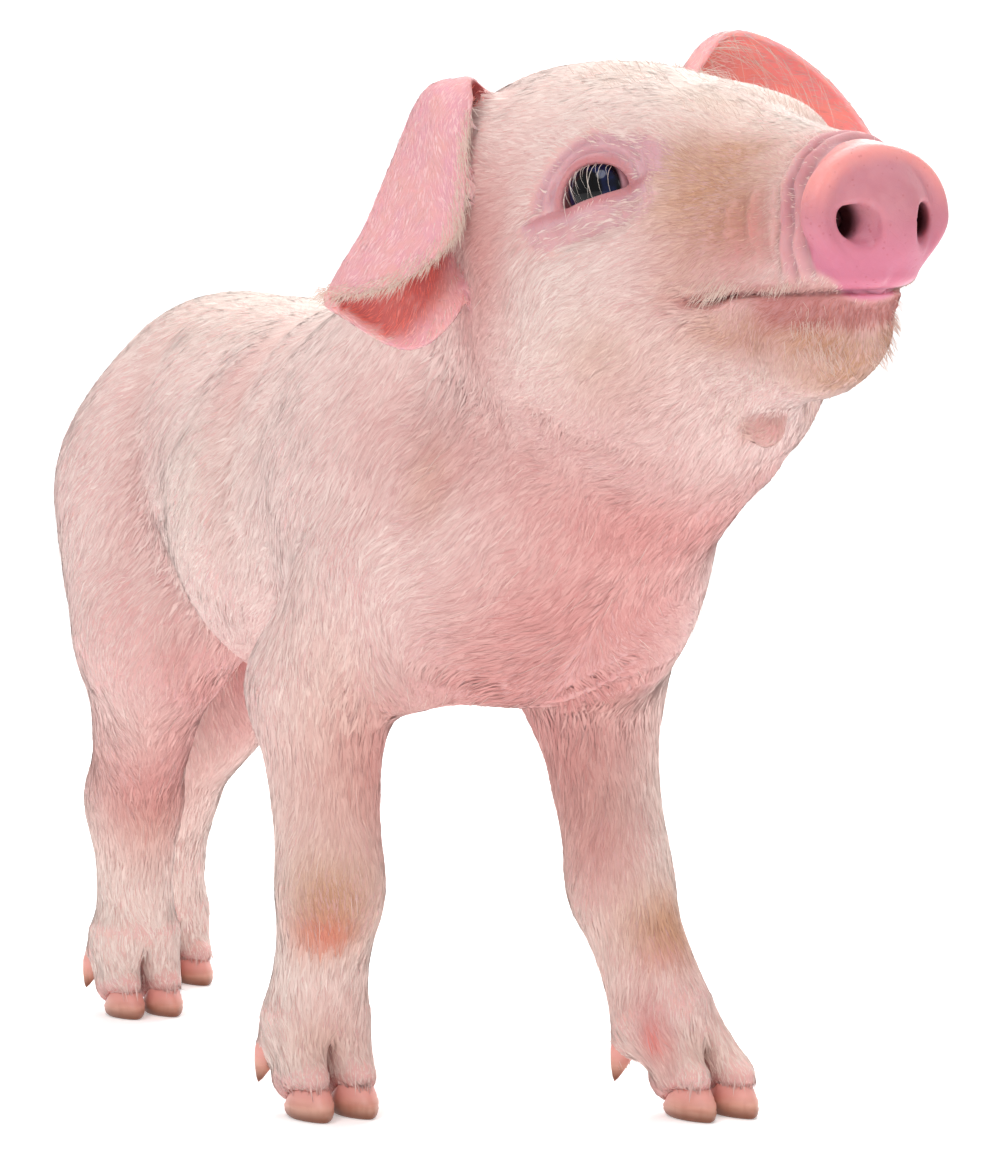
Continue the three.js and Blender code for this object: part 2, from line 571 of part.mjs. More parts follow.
// ---- The whole piglet ------------------------------------------------------------------------------------
const SKIN = new THREE.MeshStandardMaterial({ color: 0xe9bfb4, roughness: 0.6 });
const BARE = new THREE.MeshStandardMaterial({ color: 0xe08a8c, roughness: 0.45 });
const HORN = new THREE.MeshStandardMaterial({ color: 0xc9a184, roughness: 0.5 });
const DARK = new THREE.MeshStandardMaterial({ color: 0x1c1d2a, roughness: 0.1 });

const around_ears = flesh(headGrid, GAP);
const nodes = [
  ["torso", torso, SKIN],
  ["neck", neck, SKIN],
  ["head", head, SKIN],
  ["snout_disc", disc, BARE],
  ["eye_right", toSolid(eyeball(-1)), DARK],
  ["eye_left", toSolid(eyeball(1)), DARK],
  ["ear_right", ear(EARS.right).subtract(around_ears), SKIN],
  ["ear_left", ear(EARS.left).subtract(around_ears), SKIN],
  ["tail", tail(), SKIN],
];
for (const name of LEGS) {
  nodes.push([`leg_${name}`, leg(name), SKIN]);
  for (const [aside, place] of [[-1, "right"], [1, "left"]]) {
    nodes.push([`claw_${name}_${place}`, claw(name, aside), HORN]);
    nodes.push([`dewclaw_${name}_${place}`, dewclawCone(name, aside), HORN]);
  }
}

const group = new THREE.Group();
group.name = "piglet";
const box = new THREE.Box3();
for (const [name, solid, material] of nodes) {
  const mesh = new THREE.Mesh(toGeometry(solid), material);
  mesh.name = name;
  mesh.geometry.computeBoundingBox();
  box.union(mesh.geometry.boundingBox);
  group.add(mesh);
}
// The origin is the middle of the bounding box, on the floor.
for (const mesh of group.children) mesh.geometry.translate(-(box.min.x + box.max.x) / 2, -(box.min.y + box.max.y) / 2, 0);

export default group;
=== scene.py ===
"""A life-size still model of a white piglet about two weeks old, standing with its head raised."""

import math

import bmesh
import bpy
import numpy as np
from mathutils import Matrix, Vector
from mathutils.bvhtree import BVHTree


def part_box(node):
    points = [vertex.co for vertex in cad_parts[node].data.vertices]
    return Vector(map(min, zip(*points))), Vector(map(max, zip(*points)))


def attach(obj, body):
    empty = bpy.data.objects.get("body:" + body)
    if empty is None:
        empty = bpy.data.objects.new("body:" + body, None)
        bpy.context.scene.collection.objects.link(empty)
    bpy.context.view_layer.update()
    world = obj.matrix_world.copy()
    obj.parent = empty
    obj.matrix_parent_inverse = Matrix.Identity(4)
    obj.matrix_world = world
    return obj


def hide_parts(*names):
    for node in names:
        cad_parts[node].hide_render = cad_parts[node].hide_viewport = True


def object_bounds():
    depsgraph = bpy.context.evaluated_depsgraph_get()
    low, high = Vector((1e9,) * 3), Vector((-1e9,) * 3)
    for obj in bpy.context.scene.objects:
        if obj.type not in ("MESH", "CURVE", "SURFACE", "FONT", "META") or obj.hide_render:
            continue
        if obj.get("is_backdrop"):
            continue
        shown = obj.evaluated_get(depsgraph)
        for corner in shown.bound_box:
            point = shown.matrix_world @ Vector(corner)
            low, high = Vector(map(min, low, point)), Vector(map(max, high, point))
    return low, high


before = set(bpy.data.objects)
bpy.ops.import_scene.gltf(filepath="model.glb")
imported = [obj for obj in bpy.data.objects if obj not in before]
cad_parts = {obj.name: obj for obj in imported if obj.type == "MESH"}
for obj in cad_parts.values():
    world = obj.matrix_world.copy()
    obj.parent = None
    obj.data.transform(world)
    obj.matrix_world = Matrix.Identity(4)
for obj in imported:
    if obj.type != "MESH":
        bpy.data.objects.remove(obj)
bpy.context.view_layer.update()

# ---- Hide --------------------------------------------------------------------------------------
# One closed skin over the whole piglet: trunk, neck, head with its snout disc, ears, tail and legs.
# It is drawn in millimetres from rounded forms that melt into each other, as flesh does under skin,
# and lies inside the body's solids by the depth of the coat.
EYE_LEFT_MIDDLE = np.array([20.0784, -80.3567, 208.5102])  # where the drawing has the left eye
eye_low, eye_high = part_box("eye_left")
SHIFT = (np.array(eye_low) + np.array(eye_high)) * 500 - EYE_LEFT_MIDDLE  # drawing to frame, in mm


def to_frame(points):
    return (np.asarray(points, float) + SHIFT) / 1000


def unit(v):
    v = np.asarray(v, float)
    return v / np.maximum(np.linalg.norm(v, axis=-1, keepdims=True), 1e-9)


def smooth(value, low, high):
    """0 below low, 1 above high, and an easy slope between; low may be the larger."""
    t = np.clip((value - low) / (high - low), 0, 1)
    return t * t * (3 - 2 * t)


# The head's own axes: x to its left, y forward to the snout, z up from the lip line.
HEAD_AT = np.array([1.0, -82.5, 182.0])
HEAD_YAW, HEAD_PITCH, HEAD_ROLL = math.radians(6), math.radians(1), math.radians(-4)


def turn_about(axis, angle):
    c, s = math.cos(angle), math.sin(angle)
    return np.array({
        "x": [[1, 0, 0], [0, c, -s], [0, s, c]],
        "y": [[c, 0, s], [0, 1, 0], [-s, 0, c]],
        "z": [[c, -s, 0], [s, c, 0], [0, 0, 1]],
    }[axis], float)


HEAD_TURN = turn_about("z", HEAD_YAW) @ turn_about("x", HEAD_PITCH) @ turn_about("y", HEAD_ROLL)
HEAD_TURN = HEAD_TURN @ np.diag([1.0, -1.0, 1.0])


def from_head(points):
    return np.asarray(points, float) @ HEAD_TURN.T + HEAD_AT


def to_head(points):
    return (points - HEAD_AT) @ HEAD_TURN


def bulge(at, half, blend, tip=0):
    """A rounded bulge with half sizes, tipped about x by so many degrees."""
    c, s = math.cos(math.radians(tip)), math.sin(math.radians(tip))

    def distance(p):
        dx, dy, dz = p[:, 0] - at[0], p[:, 1] - at[1], p[:, 2] - at[2]
        if tip:
            dy, dz = c * dy + s * dz, c * dz - s * dy
        ax, ay, az = dx / half[0], dy / half[1], dz / half[2]
        near = np.sqrt(ax * ax + ay * ay + az * az)
        steep = np.sqrt((ax / half[0]) ** 2 + (ay / half[1]) ** 2 + (az / half[2]) ** 2)
        return near * (near - 1) / np.maximum(steep, 1e-9)

    return blend, distance


def limb(a, b, radius_a, radius_b, blend, squeeze=1.0):
    """A tapered limb with round ends from a to b, narrowed across x by squeeze."""
    a, b = np.array(a, float), np.array(b, float)
    narrow = np.array([squeeze, 1, 1])
    a, b = a / narrow, b / narrow
    d = b - a

    def distance(p):
        off = p / narrow - a
        t = np.clip(off @ d / (d @ d), 0, 1)
        off = off - t[:, None] * d
        away = np.sqrt((off * off).sum(1))
        return (away - radius_a - (radius_b - radius_a) * t) * min(1, squeeze)

    return blend, distance


def pair(make):
    return [make(-1), make(1)]


def join(d, e, blend):
    h = np.maximum(blend - np.abs(d - e), 0)
    return np.minimum(d, e) - h * h / (4 * blend)


def cut(d, tool, blend):
    h = np.maximum(blend - np.abs(d + tool), 0)
    return np.maximum(d, -tool) + h * h / (4 * blend)


def ridge(away, wide):
    """1 on a line, falling off softly to each side of it."""
    return np.exp(-((away / wide) ** 2))


def melt(forms, p, d=None):
    for blend, distance in forms:
        e = distance(p)
        d = e if d is None else join(d, e, blend)
    return d


HEAD_FORMS = [
    bulge([0, -26, 21], [33.5, 37, 30.5], 8),  # skull
    bulge([0, -18, 32], [22, 22, 17.5], 12),  # crown
    *pair(lambda s: bulge([s * 23, -38, 28], [13, 12, 13], 10)),  # root of the ear
    *pair(lambda s: bulge([s * 14, 2, 28.6], [13.4, 22, 16.4], 10)),  # brow
    *pair(lambda s: bulge([s * 22.2, 2.4, 23.6], [9.0, 13.4, 12.0], 6)),  # rim of the eye
    limb([0, 0, 20], [0, 52, 15.5], 24, 15, 10),  # muzzle
    limb([0, 8, 31], [0, 50, 20], 12, 10, 8),  # bridge of the nose
    *pair(lambda s: limb([s * 13, 6, 6], [s * 5.6, 43.5, 7.2], 14, 9.6, 8)),  # upper lips
    limb([0, -20, -7], [0, 36, -6], 21, 13.5, 8),  # lower jaw
    bulge([0, 40, -6], [13, 11.5, 9], 6),  # chin
    *pair(lambda s: bulge([s * 22, -16, 2], [17, 32, 25], 12)),  # cheeks
    bulge([0, -12, -16], [24, 31, 17.5], 12),  # jowls
]
NAPE, CREST, GULLET = (from_head(p) for p in ([0, -44, 18], [0, -52, 24], [2, -18, -18]))
TRUNK_FORMS = [
    bulge([0, 58, 145], [45, 80, 49], 10),  # rib cage
    bulge([0, 92, 139], [48.5, 50, 47], 14),  # belly
    bulge([0, 138, 150], [40, 66, 47], 14),  # loin and flank
    bulge([0, 180, 154], [37, 45, 45], 20),  # rump
    bulge([0, 16, 149], [39, 46, 44], 20),  # withers and shoulder top
    bulge([-3, -6, 134], [32, 28, 36], 16),  # breast
    *pair(lambda s: bulge([s * 27, 14, 130], [18, 34, 38], 14, -18)),  # shoulder and upper arm
    *pair(lambda s: bulge([s * 23, 186, 135], [19.5, 39, 46], 8, 20)),  # ham
    limb([0, 22, 152], NAPE, 42, 33, 18),
    limb([0, 8, 166], CREST, 28, 24, 18),
    limb([5, 0, 134], GULLET, 34, 28, 18),
]
FEET = {
    "front_right": ([-33, 6, 128], [-38, 29, 99], [-37.6, 24, 51], [-38.6, 30, 24], [-38.6, 20]),
    "front_left": ([28, 2, 128], [29, 20, 99], [29.5, 7, 51], [34, -5, 24], [40.2, -18.6]),
    "hind_right": ([-22, 180, 146], [-27, 164, 108], [-20, 200, 60], [-20, 199, 24], [-20.2, 191]),
    "hind_left": ([20, 190, 146], [22, 196, 108], [11, 249, 60], [10.5, 254, 24], [10.8, 246]),
}
TOE_APART = 5.9
DEWCLAW_LENGTH = 8.0


def dewclaw_root(name, aside):
    fetlock, toe = FEET[name][3:]
    x, y = (fetlock[k] + 0.35 * (toe[k] - fetlock[k]) for k in (0, 1))
    return np.array([x + aside * 9.4, y + 9, fetlock[2] - 9])


def leg_forms(name):
    hind = name.startswith("hind")
    hip, elbow, knee, fetlock, toe = FEET[name]
    forms = [
        limb(hip, elbow, 25, 22, 14) if hind else limb(hip, elbow, 18, 17.5, 6),
        limb(elbow, knee, 21, 12.5, 10, 0.9) if hind else limb(elbow, knee, 16.2, 10.6, 6),
        bulge(knee, [11, 13, 14], 7) if hind else bulge(np.add(knee, [0, 0, 7]), [9.6, 11.6, 14], 7),
        limb(knee, fetlock, 11.0, 10.8, 8) if hind else limb(knee, fetlock, 10.5, 11.8, 8),
    ]
    for aside in (-1, 1):
        x = toe[0] + aside * TOE_APART
        ankle = [fetlock[0] + aside * 4.5, fetlock[1] - 2, fetlock[2] - 3]
        root = dewclaw_root(name, aside)
        forms += [
            limb(ankle, [x, toe[1] + 3, 9.5], 8.2, 5.4, 2.5),  # toe
            bulge([x, toe[1] + 9, 8.5], [5.2, 7.6, 6.3], 3),  # heel
            bulge([x, toe[1] - 0.5, 8.8], [4.2, 5.7, 4.4], 3),  # front of the toe, over the claw
            limb(root + [-aside * 2, -3, 7], root, 4.8, 3.6, 4),  # root of the dewclaw
        ]
    return forms


LEG_FORMS = {name: leg_forms(name) for name in FEET}


def smooth_line(points, n):
    """n + 1 points on a smooth curve through the given ones."""
    p = np.array(points, float)
    p = np.vstack([2 * p[0] - p[1], p, 2 * p[-1] - p[-2]])
    t = np.linspace(0, len(p) - 3, n + 1)
    i = np.minimum(t.astype(int), len(p) - 4)
    f = (t - i)[:, None]
    a, b, c, d = p[i], p[i + 1], p[i + 2], p[i + 3]
    return 0.5 * (2 * b + (c - a) * f + (2 * a - 5 * b + 4 * c - d) * f**2 + (3 * b - a - 3 * c + d) * f**3)


def off_line(line, p):
    """How far each point is from a run of straight pieces, and how far along the run it is, 0 to 1."""
    best = np.full(len(p), np.inf)
    share = np.zeros(len(p))
    for k in range(len(line) - 1):
        d = line[k + 1] - line[k]
        t = np.clip((p - line[k]) @ d / (d @ d), 0, 1)
        off = p - line[k] - t[:, None] * d
        away = (off * off).sum(1)
        closer = away < best
        best = np.where(closer, away, best)
        share = np.where(closer, (k + t) / (len(line) - 1), share)
    return np.sqrt(best), share


TAIL_LINE = smooth_line([
    [0, 212, 172], [1, 228, 171], [4, 240, 164], [9, 245, 152], [9, 250, 139], [1, 254, 132], [-5, 250, 127],
], 18)
TAIL_ROOT, TAIL_TIP = 4.4, 1.4

# Each ear is a sheet through three lines from root to tip: back margin, midrib and front margin.
EAR_LINES = {
    "right": [
        [[-25, -40, 44], [-28.5, -41, 28], [-35.6, -36.5, 13.3],
         [-40.1, -33.6, 2.2], [-47, -43.3, -4.8], [-58, -56, 4.6]],
        [[-28.5, -42, 50.5], [-37, -46, 47.5], [-44.6, -49, 32.5],
         [-51, -51, 19], [-55.5, -54, 11], [-58.6, -56, 6]],
        [[-32.5, -36, 47], [-37, -32, 38], [-39.5, -30, 25.5],
         [-43.4, -30, 17], [-52, -38, 9.2], [-58.8, -55, 7]],
    ],
    "left": [
        [[28, -40, 51], [41, -44, 61], [53, -42, 59], [64.5, -38, 50], [74, -36, 38], [81, -34, 24]],
        [[24, -44, 32], [38, -50, 38], [50, -50, 37], [62, -46, 33], [72, -40, 28], [81, -34, 22]],
        [[28, -28, 14], [38, -24, 12], [50, -24, 11], [62, -27, 12], [73, -31, 15], [81, -34, 20]],
    ],
}
EAR_ACROSS, EAR_ALONG = 28, 40
EAR_THICK_ROOT, EAR_THICK_EDGE = 2.7, 1.3


class Ear:
    """The middle sheet of one ear, with how far across and along it each of its points lies."""

    def __init__(self, lines):
        back, rib, front = (smooth_line(line, EAR_ALONG) for line in lines)
        across = np.linspace(-1, 1, EAR_ACROSS + 1)
        bend = across * math.pi / 2
        middle = (back + front) / 2
        sheet = middle[:, None] + (rib - middle)[:, None] * np.cos(bend)[None, :, None]
        sheet = sheet + (front - back)[:, None] / 2 * np.sin(bend)[None, :, None]
        self.grid = from_head(sheet.reshape(-1, 3)).reshape(sheet.shape)
        self.points = self.grid.reshape(-1, 3)
        along = np.linspace(0, 1, EAR_ALONG + 1)
        self.across = np.tile(across, EAR_ALONG + 1)
        self.along = np.repeat(along, EAR_ACROSS + 1)
        row = EAR_ACROSS + 1
        corner = (np.arange(EAR_ALONG)[:, None] * row + np.arange(EAR_ACROSS)).ravel()
        self.faces = np.vstack([
            np.stack([corner, corner + 1, corner + row + 1], 1),
            np.stack([corner, corner + row + 1, corner + row], 1),
        ])
        self.tree = BVHTree.FromPolygons(self.points.tolist(), self.faces.tolist())
        thick = np.maximum(self.along, np.abs(self.across) ** 3)
        self.half = (EAR_THICK_ROOT + (EAR_THICK_EDGE - EAR_THICK_ROOT) * thick) / 2
        self.low, self.high = self.points.min(0), self.points.max(0)

    def place(self, p):
        """Distance to the sheet, the corners of its nearest face, and each corner's share."""
        found = [self.tree.find_nearest(x) for x in p.tolist()]
        away = np.array([f[3] for f in found])
        spot = np.array([f[0] for f in found])
        face = self.faces[np.array([f[2] for f in found])]
        near = ((self.points[face] - spot[:, None]) ** 2).sum(2)
        weight = 1 / (near + 0.05)
        weight /= weight.sum(1, keepdims=True)
        return away, face, weight

    def within(self, p, reach):
        return ((p > self.low - reach) & (p < self.high + reach)).all(1)


EARS = {side: Ear(lines) for side, lines in EAR_LINES.items()}
EAR_BLEND = 5.0  # at the root; the free part melts into nothing

# The snout disc: a rounded plate across the front of the muzzle.
DISC_BACK, DISC_FRONT, DISC_UP = 54.6, 61.0, 16.2
DISC_HALF_WIDTH, DISC_HALF_HEIGHT, DISC_SQUARE, DISC_EDGE = 17.5, 14.2, 2.15, 3.2
DISC_TAPER = 0.30  # the disc is this much narrower at its lower edge


def disc_reach(q):
    """How far out on the disc each point is: 0 at the middle, 1 at the rim."""
    low = smooth(q[:, 2], DISC_UP, DISC_UP - DISC_HALF_HEIGHT)
    wide = np.abs(q[:, 0]) / (DISC_HALF_WIDTH * (1 - DISC_TAPER * low))
    high = np.abs(q[:, 2] - DISC_UP) / DISC_HALF_HEIGHT
    return (wide**DISC_SQUARE + high**DISC_SQUARE) ** (1 / DISC_SQUARE)


def disc_distance(q):
    out = np.hypot(q[:, 0], q[:, 2] - DISC_UP)
    reach = np.maximum(disc_reach(q), 1e-6)
    aside = out * (1 - 1 / reach) + DISC_EDGE
    ahead = np.abs(q[:, 1] - (DISC_BACK + DISC_FRONT) / 2) - (DISC_FRONT - DISC_BACK) / 2 + DISC_EDGE
    outer = np.hypot(np.maximum(aside, 0), np.maximum(ahead, 0))
    return outer + np.minimum(np.maximum(aside, ahead), 0) - DISC_EDGE


NOSTRIL_TALL = 1.3  # height over width
NOSTRIL_RUN = [([-7.6, 64.5, 14.4], 3.3), ([-8.8, 59.0, 15.9], 2.3), ([-9.6, 48.0, 17.2], 2.0)]
NOSTRIL_FORMS = []
for (start, wide), (end, narrow_end) in zip(NOSTRIL_RUN, NOSTRIL_RUN[1:]):
    flat = [1, 1, 1 / NOSTRIL_TALL]
    NOSTRIL_FORMS.append(limb(np.multiply(start, flat), np.multiply(end, flat), wide, narrow_end, 1.5))

# The eye: its ball, and the axes of the opening between the lids.
EYE_AT, EYE_RADIUS = np.array([-21.2, -1.6, 25.0]), 8.4
EYE_GAZE = unit([-0.898, 0.429, 0.102])
EYE_UP = unit(np.array([0, 0, 1]) - EYE_GAZE * EYE_GAZE[2])
EYE_AHEAD = unit(np.array([0, 1, 0]) - EYE_GAZE * EYE_GAZE[1])
EYE_SLANT = math.radians(17)
EYE_LONG = EYE_AHEAD * math.cos(EYE_SLANT) + EYE_UP * math.sin(EYE_SLANT)
EYE_HIGH = unit(np.cross(EYE_LONG, EYE_GAZE))
EYE_HIGH = EYE_HIGH * np.sign(EYE_HIGH[2])
OPENING_LONG, OPENING_UP, OPENING_DOWN, OPENING_DROP = 7.9, 6.3, 0.7, 1.7
LID_THICK = 2.0


def eye_axes(q):
    off = q - EYE_AT
    return off @ EYE_LONG - 0.1, off @ EYE_HIGH + OPENING_DROP, off @ EYE_GAZE


def opening_distance(a, b, out):
    """How far a point is from the slit between the lids, measured across the gaze."""
    tall = np.where(b > 0, OPENING_UP, OPENING_DOWN)
    flare = 1 + 0.02 * np.maximum(out - 7, 0)
    ax, by = a / (OPENING_LONG * flare), b / (tall * flare)
    near = np.sqrt(ax * ax + by * by)
    steep = np.sqrt((ax / (OPENING_LONG * flare)) ** 2 + (by / (tall * flare)) ** 2)
    return near * (near - 1) / np.maximum(steep, 1e-9)


# Rolls and grooves of the upper lid: how far out from the slit, how wide and how deep.
UPPER_LID_ROLLS = ((1.0, 0.9, -0.35), (2.6, 0.5, 0.40), (4.9, 0.6, 0.35), (3.8, 0.8, -0.3))
MOUTH_LINE = np.array([[18, 2.6], [23, 1.5], [28, 1.9], [33, 2.6], [44, 2.4], [54, 2.2], [62, 1.6]])
MOUTH_HALF, MOUTH_DEPTH = 0.62, 2.0

# Rings of folded skin behind the disc: how far forward, how wide and how deep, below 0 where one stands up.
DISC_FOLDS = ((54.0, 0.6, 0.7), (52.3, 0.9, -0.9), (50.7, 0.55, 0.9), (48.9, 1.0, -0.8), (46.8, 0.8, 0.7))


def disc_folds(q):
    """How far each of these rings presses in at each point."""
    angle = np.arctan2(q[:, 2] - DISC_UP, q[:, 0])
    wander = 1.3 * np.sin(3 * angle + 1) + 0.7 * np.sin(7 * angle + 2) + 0.35 * np.sin(17 * angle)
    ring = q[:, 1] + wander * 0.5
    for at, wide, deep in DISC_FOLDS:
        lump = 0.65 + 0.35 * np.sin(5 * angle + at * 2.1) * np.sin(2.3 * angle + at)
        yield deep * lump * ridge(ring - at, wide) * smooth(q[:, 2], 3.0, 7.0)


def on_right(q):
    """The points with those of the left side folded over to the right."""
    folded = q.copy()
    folded[:, 0] = -np.abs(q[:, 0])
    return folded


def head_details(q, d):
    """The fine forms of the face: lids, disc, nostrils, lips and wrinkles, alike on both sides."""
    m = on_right(q)
    # eye
    a, b, out = eye_axes(m)
    around_eye = (np.abs(a) < 20) & (np.abs(b) < 20) & (out > 0)
    k = np.flatnonzero(around_eye)
    if len(k):
        ak, bk, ok = a[k], b[k], out[k]
        dk = d[k]
        bowl = bulge([0, 2.2, 11.6], [13.5, 12.0, 5.4], 1)[1](np.stack([ak, bk, ok], 1))
        dk = cut(dk, bowl, 4.0)
        ball = np.sqrt(((m[k] - EYE_AT) ** 2).sum(1))
        dk = join(dk, ball - EYE_RADIUS - LID_THICK, 1.6)
        gap = opening_distance(ak, bk, ok)
        upper = smooth(bk, -1.0, 2.0)
        lower = smooth(bk, 0.5, -2.0)
        for at, wide, deep in UPPER_LID_ROLLS:
            dk = dk + deep * ridge(gap - at, wide) * upper
        dk = dk - 0.30 * ridge(gap - 1.2, 1.2) * lower
        dk = dk + 0.45 * ridge(gap - 8.4, 1.0) * lower * smooth(np.abs(ak), 9.5, 7)
        dk = dk - 0.9 * ridge(gap - 5.0, 2.4) * lower * smooth(np.abs(ak), 9.5, 6)
        dk = cut(dk, gap, 0.9)
        d[k] = np.maximum(dk, EYE_RADIUS - 0.35 - ball)
    # disc, with a shallow dish inside its rim and a furrow down to the lip
    front = q[:, 1] > 40
    k = np.flatnonzero(front)
    if len(k):
        qk, mk = q[k], m[k]
        dk = join(d[k], disc_distance(qk), 0.9)
        reach = disc_reach(qk)
        face = smooth(qk[:, 1], 57.5, 59.5)
        dk = dk + 0.55 * face * smooth(reach, 0.93, 0.62)
        dk = dk + 0.7 * face * ridge(qk[:, 0], 1.3) * smooth(qk[:, 2], 8, 3)
        dk = dk + 0.12 * face * ridge(qk[:, 2] - 15.2, 0.35) * smooth(np.abs(qk[:, 0]), 6, 4)
        hole = melt(NOSTRIL_FORMS, mk * [1, 1, 1 / NOSTRIL_TALL])
        d[k] = cut(dk, hole, 1.5)
    # folds behind the disc
    for fold in disc_folds(q):
        d += 1.15 * fold
    # lips
    height = q[:, 2] - np.interp(q[:, 1], MOUTH_LINE[:, 0], MOUTH_LINE[:, 1])
    open_here = smooth(q[:, 1], 20.0, 26.0)
    d -= 0.55 * open_here * (ridge(height - 2.2, 1.4) + 0.5 * ridge(height + 2.4, 1.6))
    corner = 1 + ridge(q[:, 1] - 26, 5)
    shallow = 1 - 0.45 * smooth(q[:, 1], 34, 44)
    return d + MOUTH_DEPTH * shallow * open_here * ridge(height, MOUTH_HALF * corner)


# Creases pressed into the hide, and rolls that stand up beside them: line, width and depth.
# The first list is on the head and lies alike on both sides; the second is on the body.
HEAD_CREASES = [
    ([[-16.0, 38.6, 24.5], [-17.7, 37.6, 19.5], [-18.6, 38.9, 13.5], [-18.4, 41.0, 9.0]], 1.3, 1.0),
    ([[-16.2, 41.4, 24.0], [-17.6, 40.2, 18.5], [-18.2, 41.4, 12.9]], 1.4, -0.8),
    ([[-15.0, 43.6, 25.5], [-16.8, 43.0, 20.0], [-17.6, 44.3, 12.0], [-17.2, 46.5, 7.5]], 1.2, 1.1),
    ([[-18.0, 35.6, 22.0], [-18.9, 34.6, 17.5], [-19.0, 35.9, 13.5]], 1.5, -0.75),
    ([[-18.3, 32.4, 20.5], [-19.4, 31.4, 16.5], [-19.6, 32.6, 12.5]], 1.3, 0.85),
    ([[-22.0, 22.5, 4.5], [-23.5, 20.5, 2.0], [-23.5, 19.0, -1.5]], 1.3, 0.7),  # behind the mouth
    ([[-21.0, 17.0, -2.0], [-17.0, 27.0, -6.5], [-13.0, 38.0, -6.5]], 2.2, 0.5),  # under the lower lip
]
BODY_CREASES = [
    ([[-5, 100, 195], [-28, 84, 184], [-40, 75, 169],
      [-46, 71, 150], [-46, 69, 132], [-40, 74, 114]], 7.0, 1.7),  # behind the shoulder
    ([[-12, 158, 194], [-34, 154, 176], [-41, 148, 150],
      [-42, 141, 132], [-36, 130, 112], [-26, 122, 101]], 7.0, 1.5),  # before the ham
    ([[-34, -58, 164], [-31, -68, 158], [-26, -76, 153], [-17, -84, 150], [-6, -89, 149]], 3.2, 1.1),  # jaw
    ([[-32, -54, 163], [-30, -40, 156], [-34, -28, 145], [-37, -14, 137]], 4.0, 0.9),  # collar
    ([[-36, -8, 106], [-24, -16, 99], [-12, -14, 95]], 3.0, 1.1),  # armpits
    ([[-40, 36, 112], [-44, 40, 100], [-38, 46, 94]], 4.0, 1.2),  # behind the elbow
    ([[-30, 142, 112], [-26, 150, 100], [-14, 160, 96]], 5.0, 1.4),  # flank fold into the groin
]
LEFT_ONLY_CREASES = [
    ([[0, -17, 98], [8, -21, 104], [17, -26, 108]], 1.5, 1.7),
    ([[-2, -12, 96], [7, -17, 101], [15, -22, 104]], 1.5, -1.1),
    ([[-3, -7, 95], [6, -12, 98], [14, -17, 101]], 1.5, 1.5),
]
TEATS = [[s * (12 + 0.02 * y), y + 5 * s] for y in (39, 62, 85, 108, 130) for s in (-1, 1)]
TEAT_LENGTH, TEAT_RADIUS = 3.8, 1.5
CHIN_WART = np.array([-1.2, 21.4, -23.8])


def flesh_distance(p):
    """How far each point is outside the smooth flesh, less than 0 inside."""
    d = melt(TRUNK_FORMS, p)
    k = np.flatnonzero(((p - from_head([0, -5, 12])) ** 2).sum(1) < 92**2)
    if len(k):
        d[k] = join(d[k], melt(HEAD_FORMS, to_head(p[k])), 14)
    for name, forms in LEG_FORMS.items():
        hip, elbow, knee, fetlock, toe = FEET[name]
        ys = [hip[1], elbow[1], knee[1], fetlock[1], toe[1]]
        side = -1 if hip[0] < 0 else 1
        reach = 46 if name.startswith("hind") else 34
        beside = (p[:, 1] > min(ys) - reach) & (p[:, 1] < max(ys) + reach)
        k = np.flatnonzero(beside & (p[:, 2] < 190) & (p[:, 0] * side > -30))
        if len(k):
            d[k] = melt(forms, p[k], d[k])
    k = np.flatnonzero((p[:, 1] > 205) & (p[:, 2] > 110))
    if len(k):
        away, share = off_line(TAIL_LINE, p[k])
        d[k] = join(d[k], away - TAIL_ROOT - (TAIL_TIP - TAIL_ROOT) * share**0.8, 3)
    return d


def laid(points, on=flesh_distance):
    """Points pulled onto the surface of the flesh."""
    p = np.array(points, float)
    for _ in range(4):
        d, slope = slope_of(on, p)
        p -= slope * (d / np.maximum((slope * slope).sum(1), 0.25))[:, None]
    return p


def slope_of(field, p, h=0.06):
    d = field(p)
    return d, np.stack([(field(p + h * step) - d) / h for step in np.eye(3)], 1)


def mirrored(line, side):
    line = np.array(line, float)
    line[:, 0] *= -side
    return line


creases = [(laid(from_head(mirrored(line, s))), w, deep) for line, w, deep in HEAD_CREASES for s in (-1, 1)]
creases += [(laid(mirrored(line, s)), w, deep) for line, w, deep in BODY_CREASES for s in (-1, 1)]
creases += [(laid(line), w, deep) for line, w, deep in LEFT_ONLY_CREASES]
creases = [(smooth_line(line, 4 * (len(line) - 1)), w, deep) for line, w, deep in creases]
teats = laid([[x, y, 92.0] for x, y in TEATS])

COAT_DEPTH = 0.8


def coat_depth(p, q):
    """How deep the hair lies over the skin: nothing on the disc, little on the face and feet."""
    depth = np.full(len(p), COAT_DEPTH)
    depth -= 0.35 * smooth(q[:, 1], -30, 10)
    depth -= 0.45 * smooth(q[:, 1], 42, 50)
    depth -= 0.45 * smooth(p[:, 2], 90, 60)
    return depth


